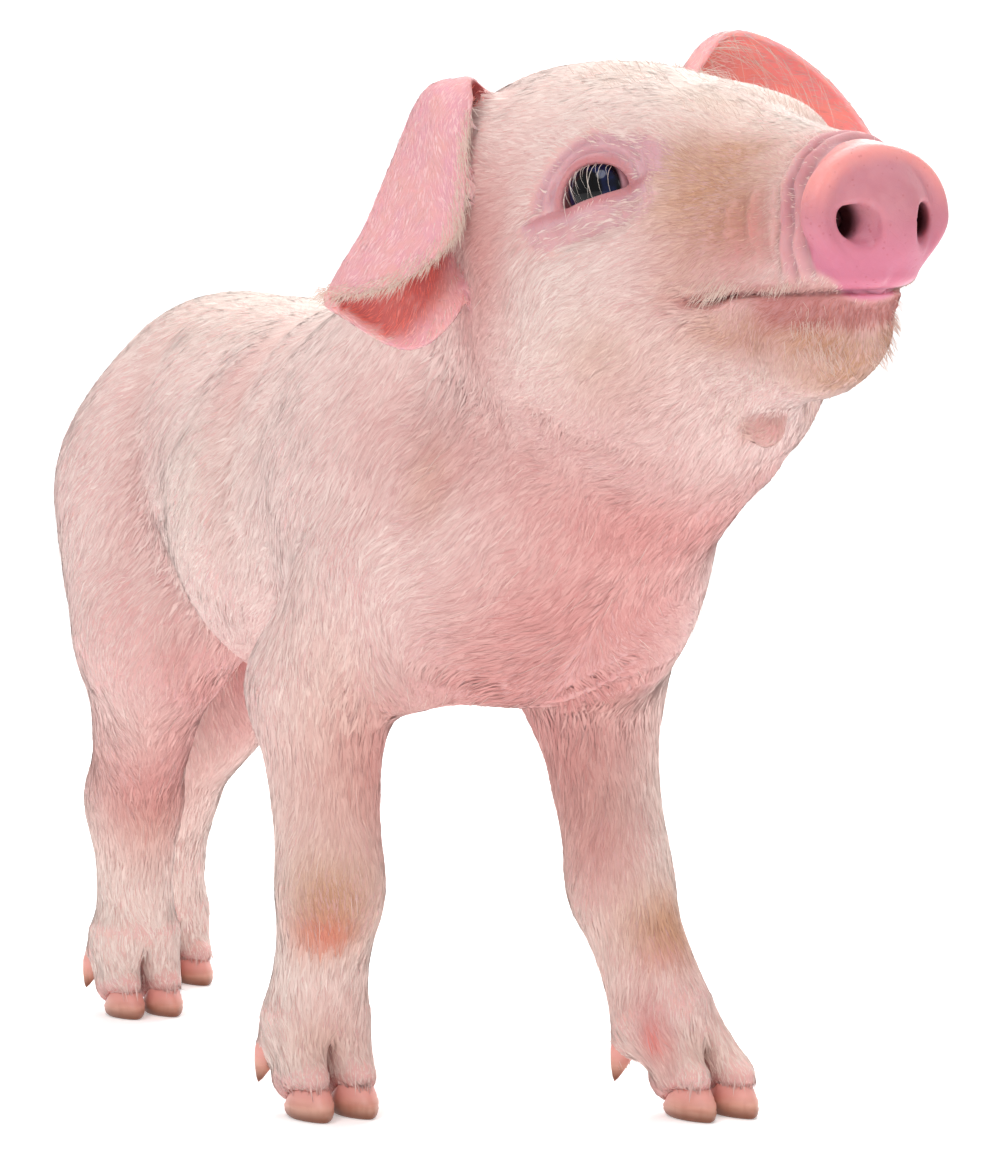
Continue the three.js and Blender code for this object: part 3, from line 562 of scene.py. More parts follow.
def hide_distance(p, spare=0.0):
    """The skin's own surface, folds and ears and all. spare thickens the ears for the first draft."""
    d = flesh_distance(p)
    q = to_head(p)
    close = np.flatnonzero(np.abs(d) < 14)
    c = p[close]
    dc = d[close] + coat_depth(c, q[close])
    for line, wide, deep in creases:
        low, high = line.min(0) - 3 * wide, line.max(0) + 3 * wide
        k = np.flatnonzero(((c > low) & (c < high)).all(1))
        if len(k):
            away, share = off_line(line, c[k])
            ends = smooth(share, 0, 0.2) * smooth(share, 1, 0.8)
            dc[k] += deep * ends * ridge(away, wide)
    k = np.flatnonzero((c[:, 2] < 104) & (c[:, 2] > 84) & (c[:, 1] > 0))
    for teat in teats:
        tip = np.array([teat[0], teat[1], teat[2] - TEAT_LENGTH])
        dc[k] = join(dc[k], limb(teat, tip, TEAT_RADIUS, TEAT_RADIUS * 0.75, 1)[1](c[k]), 2.0)
    k = np.flatnonzero((q[close, 1] > -24) & (q[close, 2] > -34))
    dc[k] = head_details(q[close][k], dc[k])
    wart = bulge(from_head(CHIN_WART), [4.0, 3.7, 4.9], 1)[1](c)
    dc = join(dc, wart, 2.0)
    for name in FEET:
        for aside in (-1, 1):
            toe = FEET[name][4]
            middle = np.array([toe[0] + aside * TOE_APART, toe[1] + 1, 5])
            k = np.flatnonzero(((c - middle) ** 2).sum(1) < 20**2)
            if len(k):
                dc[k] = cut(dc[k], claw_distance(name, aside, c[k]) + 0.5, 0.6)
    for hip, elbow, knee, fetlock, toe in FEET.values():
        k = np.flatnonzero((np.abs(c[:, 0] - toe[0]) < 5) & (np.abs(c[:, 1] - toe[1]) < 30) & (c[:, 2] < 28))
        ahead = toe[1] + (fetlock[1] - toe[1]) * c[k][:, 2] / fetlock[2]
        cleft = ridge(c[k][:, 0] - toe[0], CLEFT_HALF) * smooth(c[k][:, 2], 20, 12)
        dc[k] += CLEFT_DEPTH * cleft * smooth(c[k][:, 1], ahead + 2, ahead - 4)
    k = np.flatnonzero(c[:, 2] < 6)
    dc[k] = np.maximum(dc[k], 0.6 - c[k][:, 2])  # no skin on the floor itself
    d[close] = dc
    for ear in EARS.values():
        k = np.flatnonzero(ear.within(p, 7))
        if len(k):
            away, face, weight = ear.place(p[k])
            half = (ear.half[face] * weight).sum(1)
            along = (ear.along[face] * weight).sum(1)
            d[k] = join(d[k], away - half - spare, 0.4 + EAR_BLEND * smooth(along, 0.3, 0.08))
    return d


CLEFT_HALF, CLEFT_DEPTH = 0.85, 6.4  # the split between the toes

# Height, half width, reach ahead and reach behind of a claw, as shares of the whole claw.
CLAW_SHAPE = np.array([
    [0.00, 0.74, 0.84, 0.86], [0.06, 0.86, 0.93, 0.93], [0.15, 0.94, 0.96, 0.98], [0.40, 1.00, 0.92, 1.00],
    [0.75, 0.88, 0.68, 0.82], [1.00, 0.55, 0.35, 0.50],
])
CLAW_HALF_WIDTH, CLAW_AHEAD, CLAW_BEHIND, CLAW_HEIGHT = 5.3, 10.5, 9.0, 8.6
CLAW_FALL = 0.45  # how much lower the claw is behind than in front


def claw_reach(share, turn):
    """How far a claw's wall is from its middle, at a share of its height, turned from straight ahead."""
    wide, ahead, behind = (np.interp(share, CLAW_SHAPE[:, 0], CLAW_SHAPE[:, k]) for k in (1, 2, 3))
    c, s = np.cos(turn), np.sin(turn)
    reach = np.where(c > 0, CLAW_AHEAD * ahead, CLAW_BEHIND * behind)
    narrow = 1 - 0.3 * np.maximum(0, c) ** 2
    height = CLAW_HEIGHT * share * (1 - CLAW_FALL * np.maximum(0, -c))
    return s * CLAW_HALF_WIDTH * wide * narrow, -c * reach, height


def claw_distance(name, aside, p):
    toe = FEET[name][4]
    x, y = p[:, 0] - toe[0] - aside * TOE_APART, p[:, 1] - toe[1] - 1
    turn = np.arctan2(x / CLAW_HALF_WIDTH, -y / CLAW_AHEAD)
    low = 1 - CLAW_FALL * np.maximum(0, -np.cos(turn))
    share = np.clip(p[:, 2] / (CLAW_HEIGHT * low), 0, 1)
    wx, wy, _ = claw_reach(share, turn)
    wall = np.hypot(x, y) - np.hypot(wx, wy)
    return np.maximum(wall * 0.8, p[:, 2] - CLAW_HEIGHT * low)


def steps(stops):
    out = [np.array([stops[0][0]], float)]
    for (start, _), (end, step) in zip(stops, stops[1:]):
        n = max(1, round((end - start) / step))
        out.append(start + (end - start) * np.arange(1, n + 1) / n)
    return np.concatenate(out)


coarse = 1.0
GRID = [
    steps([[-72, 0], [86, 1.4 * coarse]]),
    steps([[-152, 0], [-36, 1.25 * coarse], [272, 2.2 * coarse]]),
    steps([[-2, 0], [26, 1.2 * coarse], [120, 2.2 * coarse], [254, 1.35 * coarse]]),
]
EAR_SPARE = 1.0 * coarse


def draft(grid):
    """A closed mesh of four-sided faces where the hide's distance is 0."""
    xs, ys, zs = grid
    shape = (len(xs), len(ys), len(zs))
    every = 4
    rough_at = [g[::every] for g in grid]
    rough = flesh_distance(np.stack(np.meshgrid(*rough_at, indexing="ij"), -1).reshape(-1, 3))
    rough = rough.reshape([len(g) for g in rough_at])
    nearest = [np.minimum((np.arange(n) + every // 2) // every, len(g) - 1) for n, g in zip(shape, rough_at)]
    values = rough[np.ix_(*nearest)].ravel()
    flat = np.stack(np.meshgrid(*grid, indexing="ij"), -1).reshape(-1, 3)
    wanted = np.abs(values) < 11
    for ear in EARS.values():
        wanted |= ear.within(flat, 4)
    k = np.flatnonzero(wanted)
    values[k] = hide_distance(flat[k], EAR_SPARE)
    values = values.reshape(shape)
    inside = values < 0
    corners = [(i, j, l) for i in (0, 1) for j in (0, 1) for l in (0, 1)]
    count = 0
    for corner in corners:
        window = tuple(slice(start, size - 1 + start) for start, size in zip(corner, shape))
        count = count + inside[window].astype(np.int8)
    active = (count > 0) & (count < 8)
    cell = np.argwhere(active)
    number = np.full(active.shape, -1)
    number[active] = np.arange(len(cell))
    total, crossed = np.zeros((len(cell), 3)), np.zeros(len(cell))
    for a in corners:
        for axis in range(3):
            if a[axis]:
                continue
            ia, ib = cell + a, cell + a
            ib = ib + np.eye(3, dtype=int)[axis]
            va, vb = values[tuple(ia.T)], values[tuple(ib.T)]
            k = np.flatnonzero((va < 0) != (vb < 0))
            t = (va[k] / (va[k] - vb[k]))[:, None]
            pa = np.stack([g[ia[k, n]] for n, g in enumerate(grid)], 1)
            pb = np.stack([g[ib[k, n]] for n, g in enumerate(grid)], 1)
            total[k] += pa + t * (pb - pa)
            crossed[k] += 1
    points = total / crossed[:, None]
    faces = []
    for axis in range(3):
        one, two = (axis + 1) % 3, (axis + 2) % 3
        a = np.take(inside, range(shape[axis] - 1), axis)
        b = np.take(inside, range(1, shape[axis]), axis)
        at = np.argwhere(a != b)
        at = at[(at[:, [one, two]] > 0).all(1)]
        at = at[(at[:, one] < shape[one] - 1) & (at[:, two] < shape[two] - 1)]
        back_one, back_two = np.eye(3, dtype=int)[one], np.eye(3, dtype=int)[two]
        ring = [at, at - back_one, at - back_one - back_two, at - back_two]
        quad = np.stack([number[tuple(r.T)] for r in ring], 1)
        out = a[tuple(at.T)]
        quad[~out] = quad[~out][:, ::-1]
        faces.append(quad)
    return points, np.vstack(faces)


def settle(p, times=2, most=1.2):
    """Pulls points along the slope onto the hide."""
    p = p.copy()
    for _ in range(times):
        d, slope = slope_of(hide_distance, p)
        move = slope * (d / np.maximum((slope * slope).sum(1), 0.25))[:, None]
        length = np.linalg.norm(move, axis=1, keepdims=True)
        p -= move * np.minimum(1, most / np.maximum(length, 1e-9))
    return p


def refine(points, faces, chosen):
    """Splits the faces whose middle is chosen into four, with a clean border."""
    mesh = bmesh.new()
    for p in points.tolist():
        mesh.verts.new(p)
    mesh.verts.ensure_lookup_table()
    for f in faces:
        mesh.faces.new([mesh.verts[i] for i in f])
    mesh.faces.ensure_lookup_table()
    middles = np.array([points[list(f)].mean(0) for f in faces])
    picked = set(np.flatnonzero(chosen(middles)).tolist())
    edges = {e for i in picked for e in mesh.faces[i].edges}
    bmesh.ops.subdivide_edges(mesh, edges=list(edges), cuts=1, use_grid_fill=True)
    odd = [f for f in mesh.faces if len(f.verts) > 4]
    bmesh.ops.triangulate(mesh, faces=odd)
    mesh.verts.index_update()
    out_points = np.array([v.co for v in mesh.verts])
    out_faces = [[v.index for v in f.verts] for f in mesh.faces]
    mesh.free()
    return out_points, out_faces


def face_area(p):
    """The snout, the lips and round the eyes."""
    q = to_head(p)
    m = on_right(q)
    eye = ((m - EYE_AT - EYE_GAZE * 7) ** 2).sum(1) < 13.5**2
    snout = q[:, 1] > 43
    height = q[:, 2] - np.interp(q[:, 1], MOUTH_LINE[:, 0], MOUTH_LINE[:, 1])
    lips = (q[:, 1] > 17) & (np.abs(height) < 3.5)
    return eye | snout | lips


def lid_area(p):
    q = to_head(p)
    m = on_right(q)
    a, b, out = eye_axes(m)
    eye = (np.abs(opening_distance(a, b, out)) < 3.2) & (out > 0) & (((m - EYE_AT) ** 2).sum(1) < 14**2)
    hole = np.abs(melt(NOSTRIL_FORMS, m * [1, 1, 1 / NOSTRIL_TALL])) < 1.6
    return eye | (hole & (q[:, 1] > 52))


hide_points, hide_faces = draft(GRID)
hide_points = settle(hide_points, 3, 2.0)
hide_points, hide_faces = refine(hide_points, hide_faces.tolist(), face_area)
hide_points = settle(hide_points, 1, 0.6)
hide_points, hide_faces = refine(hide_points, hide_faces, lid_area)
hide_points = settle(hide_points, 2, 0.4)
hide_mesh = bpy.data.meshes.new("hide")
hide_mesh.from_pydata(to_frame(hide_points).tolist(), [], [list(f) for f in hide_faces])
hide_mesh.update()
hide_mesh.shade_smooth()


def placed(name, mesh, slot, *nodes):
    """A mesh as a piece of the piglet, in place of the solids of these nodes."""
    piece = bpy.data.objects.new(name, mesh)
    bpy.context.scene.collection.objects.link(piece)
    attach(piece, "root")
    if nodes:
        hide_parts(*nodes)
    return piece


FLESH = ["torso", "neck", "head", "snout_disc", "ear_right", "ear_left", "tail"]
FLESH += [f"leg_{name}" for name in FEET]
placed("hide", hide_mesh, "skin", *FLESH)

# ---- Markings ----------------------------------------------------------------------------------
# Where the hide is redder, browner or barer, and how its hair grows. Each is a number at every point
# of the hide, and the hairs take the same numbers from their roots.
# Some of these numbers place painted shade and a painted glow, as said where they are made.
def blobs(p, spots):
    """Soft round spots: middle, half sizes, strength; 1 where they are full."""
    rest = np.ones(len(p))
    for middle, half, strength in spots:
        off = (p - np.array(middle, float)) / np.array(half, float)
        rest *= 1 - strength * np.exp(-(off * off).sum(1))
    return 1 - rest


def ripple(p, size, seed):
    """Soft noise from about -1 to 1, from a few crossed waves."""
    turn = np.random.default_rng(seed)
    total = np.zeros(len(p))
    for k in range(7):
        way = unit(turn.normal(size=3)) * turn.uniform(0.7, 1.6) * 2 * math.pi / size
        total += np.sin(p @ way + turn.uniform(0, 6.28))
    return total / 3.2


p = hide_points
q = to_head(p)
m = on_right(q)
side = on_right(p)
on_head = smooth(q[:, 1], -52, -36) * smooth(q[:, 2], -50, -30)

slit_a, slit_b, slit_out = eye_axes(m)
slit = opening_distance(slit_a, slit_b, slit_out)
by_eye = (slit_out > 0) & (((m - EYE_AT) ** 2).sum(1) < 20**2)
lids = np.where(by_eye, smooth(slit, 3.6, 2.2), 0)
upper_lid = np.where(by_eye, smooth(slit, 8.0, 5.5) * smooth(slit_b, -1, 1.5), 0)
eye_bag = np.where(by_eye, smooth(slit, 9.0, 7.6) * smooth(slit_b, 0.5, -1.5), 0)
eye_patch = blobs(m, [([-26.8, 8.5, 30.5], [9, 9.5, 5.2], 1.0), ([-24.0, 16.0, 31.0], [6, 6.0, 4.6], 1.0)])
eye_patch = smooth(eye_patch + 0.10 * ripple(p, 4.0, 3), 0.30, 0.62)
disc_out = disc_reach(q)
disc = smooth(q[:, 1], 54.0, 54.9) * smooth(disc_out, 1.2, 1.1) * smooth(q[:, 2], -1.5, 0.8)
folds = smooth(q[:, 1], 47.0, 49.5) * smooth(q[:, 2], 3, 7)
nostril = smooth(melt(NOSTRIL_FORMS, m * [1, 1, 1 / NOSTRIL_TALL]), 0.9, -0.1) * smooth(q[:, 1], 60.8, 57.6)
lip_height = q[:, 2] - np.interp(q[:, 1], MOUTH_LINE[:, 0], MOUTH_LINE[:, 1])
in_mouth = smooth(np.abs(lip_height), 0.9, 0.2) * smooth(q[:, 1], 20, 25)
in_mouth *= 1 - 0.5 * smooth(q[:, 1], 33, 42)
lips = smooth(np.abs(lip_height), 3.4, 1.6) * smooth(q[:, 1], 32, 42)

ear_across, ear_along = np.zeros(len(p)), np.zeros(len(p))
on_ear, ear_inner = np.zeros(len(p)), np.zeros(len(p))
ear_lie = np.zeros((len(p), 3))
for ear in EARS.values():
    k = np.flatnonzero(ear.within(p, 5))
    away, face, weight = ear.place(p[k])
    across, along = (ear.across[face] * weight).sum(1), (ear.along[face] * weight).sum(1)
    spot = (ear.points[face] * weight[:, :, None]).sum(1)
    row = np.clip(np.round(along * EAR_ALONG).astype(int), 0, EAR_ALONG)
    chord = (ear.grid[row, 0] + ear.grid[row, -1]) / 2 - spot
    off = p[k] - spot
    facing = (off * chord).sum(1) / (np.linalg.norm(off, axis=1) * np.linalg.norm(chord, axis=1) + 1e-6)
    column = np.clip(np.round((across + 1) / 2 * EAR_ACROSS).astype(int), 0, EAR_ACROSS)
    lie = ear.grid[np.minimum(row + 1, EAR_ALONG), column] - ear.grid[np.maximum(row - 1, 0), column]
    outward = (ear.grid[row, np.minimum(column + 1, EAR_ACROSS)] - ear.grid[row, np.maximum(column - 1, 0)])
    lie = unit(lie) + unit(outward) * (0.55 * across)[:, None]
    here = smooth(away, 3.2, 1.6)
    use = here > on_ear[k]
    kk = k[use]
    on_ear[kk], ear_across[kk], ear_along[kk] = here[use], across[use], along[use]
    ear_inner[kk] = (smooth(facing, -0.15, 0.35) * here)[use]
    ear_lie[kk] = lie[use]
ear_hollow = ear_inner * smooth(ear_along, 0.55, 0.1) * smooth(np.abs(ear_across), 0.95, 0.5)

tan = blobs(m, [
    ([-13, 33, 29], [9, 12, 7], 0.85), ([-17, 34, 18], [8, 11, 9], 0.70), ([-19, 24, 24], [7, 9, 9], 0.80),
    ([-8, 50, -7], [12, 9, 7], 0.80), ([0, 48, -13], [14, 9, 7], 0.85), ([-16, 34, -5], [7, 13, 5], 0.75),
    ([-6, 20, 42], [10, 12, 6], 0.25), ([-21, 24, 6], [5, 8, 6], 0.35), ([-31, 9, -7], [9, 12, 9], 0.28),
]) * smooth(q[:, 2], -26, -16)
tan *= np.clip(1.0 + 0.22 * ripple(p, 11, 21) + 0.12 * ripple(p, 4, 22), 0, 1.15)
tan = np.maximum(tan, blobs(p, [
    ([-44, 11, 54], [13, 10, 10], 1.0), ([34, -8, 47], [11, 9, 9], 1.0), ([-44, 13, 46], [9, 8, 5], 0.85),
    ([-20, 190, 58], [10, 10, 12], 0.25), ([-42, 20, 20], [9, 9, 7], 0.3), ([38, -12, 16], [9, 9, 6], 0.3),
    ([-34, -30, 148], [3, 12, 9], 0.35),
    ([-40, 8, 84], [16, 18, 26], 0.26), ([-46, 6, 112], [10, 16, 20], 0.12),
    ([22, -6, 78], [9, 16, 24], 0.16), ([-34, 2, 26], [14, 16, 12], 0.10),
]))
# Redder skin by the lips and under the jaw, and on the throat, chest, armpits, belly, groin and hams; on
# these undersides it is partly painted shade.
blush_and_shade = blobs(m, [
    ([-19, 40, 15], [5, 10, 9], 0.75), ([-10, 40, -4], [9, 12, 5], 0.80), ([-35, -24, 14], [9, 10, 20], 0.75),
    ([-34, -34, -2], [8, 12, 12], 0.40), ([-24, 4, -16], [14, 22, 12], 0.38),
    ([-20, 26, 10], [10, 14, 12], 0.40),
])
blush_and_shade = 1 - (1 - blush_and_shade) * (1 - blobs(side, [
    ([-6, -40, 116], [28, 28, 20], 0.92), ([-4, -66, 138], [28, 26, 17], 0.95),
    ([-10, -18, 99], [20, 16, 14], 0.95), ([0, 70, 92], [34, 90, 20], 1.0),
    ([-8, 172, 100], [22, 30, 26], 0.90), ([-36, 84, 176], [8, 12, 22], 0.2),
    ([-36, -38, 156], [9, 14, 12], 0.60), ([-30, -56, 146], [10, 16, 12], 0.60),
    ([-16, 185, 72], [20, 26, 20], 0.75), ([-44, 146, 140], [7, 10, 26], 0.35),
    ([-32, 14, 92], [12, 22, 24], 0.28),
    ([-37, -12, 156], [10, 18, 18], 0.35), ([-28, 160, 104], [14, 18, 16], 0.35),
]))
blush_and_shade = 1 - (1 - blush_and_shade) * (1 - blobs(p, [
    ([-44, 13, 46.5], [8, 8, 5], 1.0), ([31, -9, 41], [6.5, 7, 4], 0.5), ([19, 8, 78], [8, 12, 20], 0.50),
    ([-31, 26, 84], [6, 12, 18], 0.45), ([-22, 183, 68], [17, 16, 16], 0.75),
    ([8, 235, 80], [16, 22, 30], 0.50),
    ([26, -13, 22], [3.2, 6, 9], 0.85), ([29, -15, 17], [2, 5, 7], 0.6), ([22, 0, 62], [8, 9, 14], 0.55),
    ([-38, 16, 24], [13, 13, 14], 0.28), ([34, -6, 28], [14, 14, 14], 0.40),
    ([-38, 20, 74], [14, 14, 20], 0.36),
]))
in_crease = np.zeros(len(p))
for line, wide, deep_in in creases:
    if deep_in > 0:
        k = np.flatnonzero(((p > line.min(0) - 2 * wide) & (p < line.max(0) + 2 * wide)).all(1))
        away, share = off_line(line, p[k])
        ends = smooth(share, 0, 0.2) * smooth(share, 1, 0.8)
        strength = min(deep_in, 1.0) * min(1.0, 1.8 / wide)
        in_crease[k] = np.maximum(in_crease[k], strength * ends * ridge(away, wide))
# Painted shade: the creases are reddened and darkened.
blush_and_shade = 1 - (1 - blush_and_shade) * (1 - 0.5 * in_crease)
coronet = 0.8 * smooth(p[:, 2], 13, 7) * smooth(p[:, 2], 2, 4)
blush_and_shade = np.maximum(blush_and_shade, 0.7 * coronet)
blush_and_shade = 1 - (1 - blush_and_shade) ** 1.35
cream = blobs(m, [
    ([0, -10, 52], [24, 34, 14], 0.9), ([-8, 20, 44], [12, 18, 8], 0.8), ([0, 36, 36], [9, 16, 6], 0.7),
    ([-35, -6, -4], [12, 20, 18], 0.32), ([-22, 6, -14], [14, 20, 9], 0.30),
])
cream = np.maximum(cream, blobs(side, [
    ([0, 110, 200], [34, 110, 22], 0.9), ([-48, 92, 150], [10, 40, 30], 0.4),
    ([-48, 10, 90], [8, 20, 20], 0.3),
]))
cream = np.maximum(cream, blobs(p, [([39, 3, 76], [10, 20, 32], 0.9)]))
cream = np.maximum(cream, 0.55 * smooth(p[:, 2], 95, 70) * (1 - on_head))
lilac = np.clip(eye_patch + 0.7 * eye_bag + upper_lid + lids, 0, 1)
to_edge = np.abs(ear_across)
pale_edge = np.where(p[:, 0] < 0, smooth(to_edge, 0.78, 0.95), smooth(to_edge, 0.45, 0.80))
coral = np.clip(np.where(p[:, 0] < 0, 1.0, 0.42) * ear_inner * (1 - 0.85 * pale_edge), 0, 1)
salmon = np.clip(on_ear - coral, 0, 1) * np.where(p[:, 0] < 0, 1.0, 0.80)
coral = np.maximum(coral, blobs(p, [
    ([-44, 13, 45.5], [6.5, 7, 3.8], 0.42), ([31, -9, 39], [5, 6, 2.6], 0.12),
    ([25.6, -14, 20], [1.3, 2.4, 3.0], 0.6),
]))
cleft = np.zeros(len(p))
for hip, elbow, knee, fetlock, toe in FEET.values():
    foot = (np.abs(p[:, 1] - toe[1]) < 30) & (p[:, 2] < 24)
    cleft[foot] += ridge(p[foot, 0] - toe[0], 1.2) * smooth(p[foot, 2], 18, 10)
# Painted shade: the toe clefts, the grooves between the disc folds, the nostrils, the mouth slit and the ear
# hollows are darkened towards black.
groove = sum(np.maximum(fold, 0) for fold in disc_folds(q))
deep = np.clip(0.5 * cleft + 0.42 * groove * (1 - disc) + nostril + 0.75 * in_mouth + 0.5 * ear_hollow, 0, 1)
rim = disc * smooth(disc_out, 0.66, 0.95) * smooth(q[:, 2], 15, 25)
low_disc = disc * smooth(q[:, 2], 20, 6)
gum_and_shade = 0.7 * lips * (1 - disc)
low_lip = smooth(lip_height, -8.5, -5.0) * smooth(lip_height, 0.5, -1.0)
low_lip *= smooth(q[:, 1], 34, 44) * (1 - disc)
gum_and_shade = np.maximum(gum_and_shade, np.maximum(low_lip, 0.6 * lids * smooth(slit, 2.4, 1.0)))
# Painted light: the raised left ear glows warm orange, as if lit through from behind.
glow = on_ear * (p[:, 0] > 0)
# Painted shade: the corners of the mouth are darkened in skin and hair.
mouth_corner_shade = smooth(np.abs(lip_height), 2.4, 0.7) * smooth(q[:, 1], 20, 24) * smooth(q[:, 1], 41, 31)
gum_and_shade = np.maximum(gum_and_shade, 0.9 * mouth_corner_shade)
blush_and_shade = np.maximum(blush_and_shade, low_lip)

bare = np.clip(np.maximum.reduce([
    disc, folds * 0.93, lids, nostril, in_mouth, 0.93 * eye_patch, 0.94 * upper_lid, 0.80 * eye_bag,
    0.92 * ear_hollow, 0.60 * ear_inner, 0.40 * low_lip,
]), 0, 1)
inside_socket = by_eye & (((m - EYE_AT) ** 2).sum(1) < (EYE_RADIUS + 0.5) ** 2)
bare[inside_socket] = 1
bare = np.maximum(bare, np.maximum(smooth(p[:, 2], 4.4, 3.0), 0.8 * cleft))
for teat in teats:
    off_teat = np.hypot(p[:, 0] - teat[0], p[:, 1] - teat[1])
    bare = np.maximum(bare, smooth(off_teat, 4.0, 2.4) * smooth(p[:, 2], 110, 104))
wart_away = np.sqrt(((p - from_head(CHIN_WART)) ** 2).sum(1))
bare = np.maximum(bare, 0.28 * smooth(wart_away, 6.2, 3.8))
blush_and_shade = np.maximum(blush_and_shade, 0.4 * smooth(wart_away, 7.0, 4.2))
tan = np.maximum(tan, 0.25 * smooth(wart_away, 5.6, 4.0))
bare = np.maximum(bare, 0.45 * on_ear)
pleats = blobs(m, [([-18, 40, 16], [6, 8, 9], 1.0)]) * on_head
for name in FEET:
    for aside in (-1, 1):
        by_claw = (np.abs(p[:, 1] - FEET[name][4][1]) < 24) & (p[:, 2] < 16)
        bare[by_claw] = np.maximum(bare[by_claw], smooth(claw_distance(name, aside, p[by_claw]), 1.3, 0.7))
growth = np.clip(1 - bare, 0, 1) * (1 + 0.25 * cream + 0.2 * tan) * (1 - 0.72 * pleats)

# Length of the hair in mm.
length = np.full(len(p), 7.0)
length += (5.0 - length) * on_head
length += (2.3 - length) * smooth(q[:, 1], 8, 36) * on_head
length += (3.6 - length) * np.clip(eye_patch + upper_lid + eye_bag, 0, 1)
length += (2.4 - length) * on_ear
length += (6.4 - length) * smooth(p[:, 2], 95, 70) * (1 - on_head)
length += (5.0 - length) * smooth(p[:, 2], 40, 20)
length += (4.2 - length) * smooth(p[:, 2], 14, 6)

# Which way it lies. Head: right side, in the head's own axes. Body: right side, in the drawing's.
HEAD_LIE = [
    ([0, 45, 30], [0, -1, 0.1]), ([-17, 42, 18], [-0.1, -1, 0.05]), ([-14, 35, 28], [-0.35, -0.9, 0.3]),
    ([-18, 36, 6], [-0.1, -0.85, -0.4]), ([-22, 24, 3], [-0.2, -0.95, -0.2]),
    ([-10, 46, -8], [0, -0.6, -0.8]), ([-14, 38, -4], [0, -0.75, -0.65]), ([0, 38, -15], [0, -1, -0.25]),
    ([-33, 5, 12], [-0.2, -0.9, -0.5]), ([-30, 14, 20], [-0.3, -0.9, -0.35]),
    ([-38, -15, 5], [-0.1, -0.75, -0.65]), ([-22, 22, 28], [-0.5, -0.8, 0.35]),
    ([-22, 8, 42], [-0.5, -0.8, 0.3]), ([0, 10, 48], [0, -1, 0.2]), ([0, -20, 51], [0, -1, 0]),
    ([-33, -15, 33], [-0.25, -0.95, 0.1]), ([-28, -30, 42], [-0.7, -0.5, 0.3]),
    ([0, -45, 48], [0, -1, -0.2]), ([-35, -36, 8], [-0.1, -0.7, -0.7]),
    ([-28, -10, -20], [0.1, -0.9, -0.35]), ([0, 0, -33], [0, -1, -0.2]),
    ([-35, -26, 22], [-0.2, -0.9, -0.4]), ([-14, -5, 48], [-0.4, -0.9, 0.1]),
]
BODY_LIE = [
    ([-32, -20, 160], [0, 0.75, -0.65]), ([-25, -40, 135], [-0.25, 0.7, -0.65]),
    ([-5, -55, 130], [-0.1, 0.5, -0.85]), ([0, -38, 110], [-0.5, 0.7, -0.5]),
    ([-20, -30, 112], [-0.75, 0.6, -0.25]), ([-45, 15, 150], [-0.05, 0.7, -0.7]),
    ([-45, 8, 120], [0, 0.3, -0.95]), ([0, 10, 195], [0, 1, 0]), ([-25, 20, 185], [-0.2, 0.9, -0.4]),
    ([0, 100, 195], [0, 1, 0]), ([-30, 100, 182], [-0.3, 0.9, -0.4]), ([-48, 90, 150], [0, 0.8, -0.6]),
    ([-40, 90, 110], [0, 0.8, -0.6]), ([0, 80, 92], [0, 1, 0]), ([-40, 150, 160], [0, 0.8, -0.6]),
    ([-20, 200, 188], [-0.2, 0.8, -0.5]), ([0, 224, 160], [0, 0.3, -1]),
    ([-42, 185, 140], [0, 0.5, -0.85]), ([-25, 225, 130], [0, -0.1, -1]), ([-30, 10, 80], [0, 0.15, -1]),
    ([-34, -10, 92], [0, 0.1, -1]), ([-30, 10, 45], [0, 0.05, -1]), ([-25, 185, 80], [0, 0.2, -1]),
    ([-20, 210, 50], [0, 0.05, -1]), ([-36, 10, 12], [0, -0.5, -0.85]),
    ([-20, 185, 12], [0, -0.5, -0.85]), ([-8, 240, 60], [0, 0.1, -1]),
]


def combed(where, anchors, reach):
    total = np.zeros((len(where), 3))
    for spot, way in anchors:
        near = ((where - np.array(spot, float)) ** 2).sum(1)
        total += unit(way)[None, :] / ((near + reach * reach) ** 2)[:, None]
    return unit(total)


sign_head = np.where(q[:, 0] > 0, -1.0, 1.0)
sign_body = np.where(p[:, 0] > 0, -1.0, 1.0)
head_way = combed(m, HEAD_LIE, 5) * np.stack([sign_head, sign_head**2, sign_head**2], 1)
body_way = combed(side, BODY_LIE, 7) * np.stack([sign_body, sign_body**2, sign_body**2], 1)
lie = head_way @ HEAD_TURN.T * on_head[:, None] + body_way * (1 - on_head)[:, None]
lie = unit(lie) * (1 - on_ear)[:, None] + unit(ear_lie) * on_ear[:, None]
tail_away, tail_share = off_line(TAIL_LINE, p)
on_tail = (tail_away < TAIL_ROOT + 1.5) & (tail_share > 0.08)
tail_step = unit(np.gradient(TAIL_LINE, axis=0))[np.round(tail_share * (len(TAIL_LINE) - 1)).astype(int)]
lie[on_tail] = tail_step[on_tail]
length[on_tail] = 5.0

MARKS = {
    "blush_and_shade": blush_and_shade, "tan": tan, "cream": cream, "lilac": lilac, "coral": coral, "salmon": salmon,
    "deep": deep, "disc": disc, "rim": rim, "low_disc": low_disc, "gum_and_shade": gum_and_shade, "fold": folds,
    "glow": glow, "furred": np.clip(growth, 0, 1),
}


def set_mark(mesh, name, value):
    mesh.attributes.new(name, "FLOAT", "POINT").data.foreach_set("value", value.astype(np.float32))


for name, value in MARKS.items():
    set_mark(hide_mesh, name, value)


# ---- Finish of the hide ------------------------------------------------------------------------
# Pale pink skin, mottled, redder where it is thin, brown where dirt has stained it, moist on the disc.
# Painted shade darkens the undersides, creases, mouth corners and, near black, the nostrils, mouth slit, toe
# clefts and ear hollows; a painted glow lights the raised left ear.
def paint(red, green, blue):
    """A colour as painters name it, 0 to 255, in the light's own scale."""
    tones = []
    for tone in (red, green, blue):
        share = tone / 255
        tones.append(((share + 0.055) / 1.055) ** 2.4 if tone > 10 else share / 12.92)
    return (*tones, 1.0)


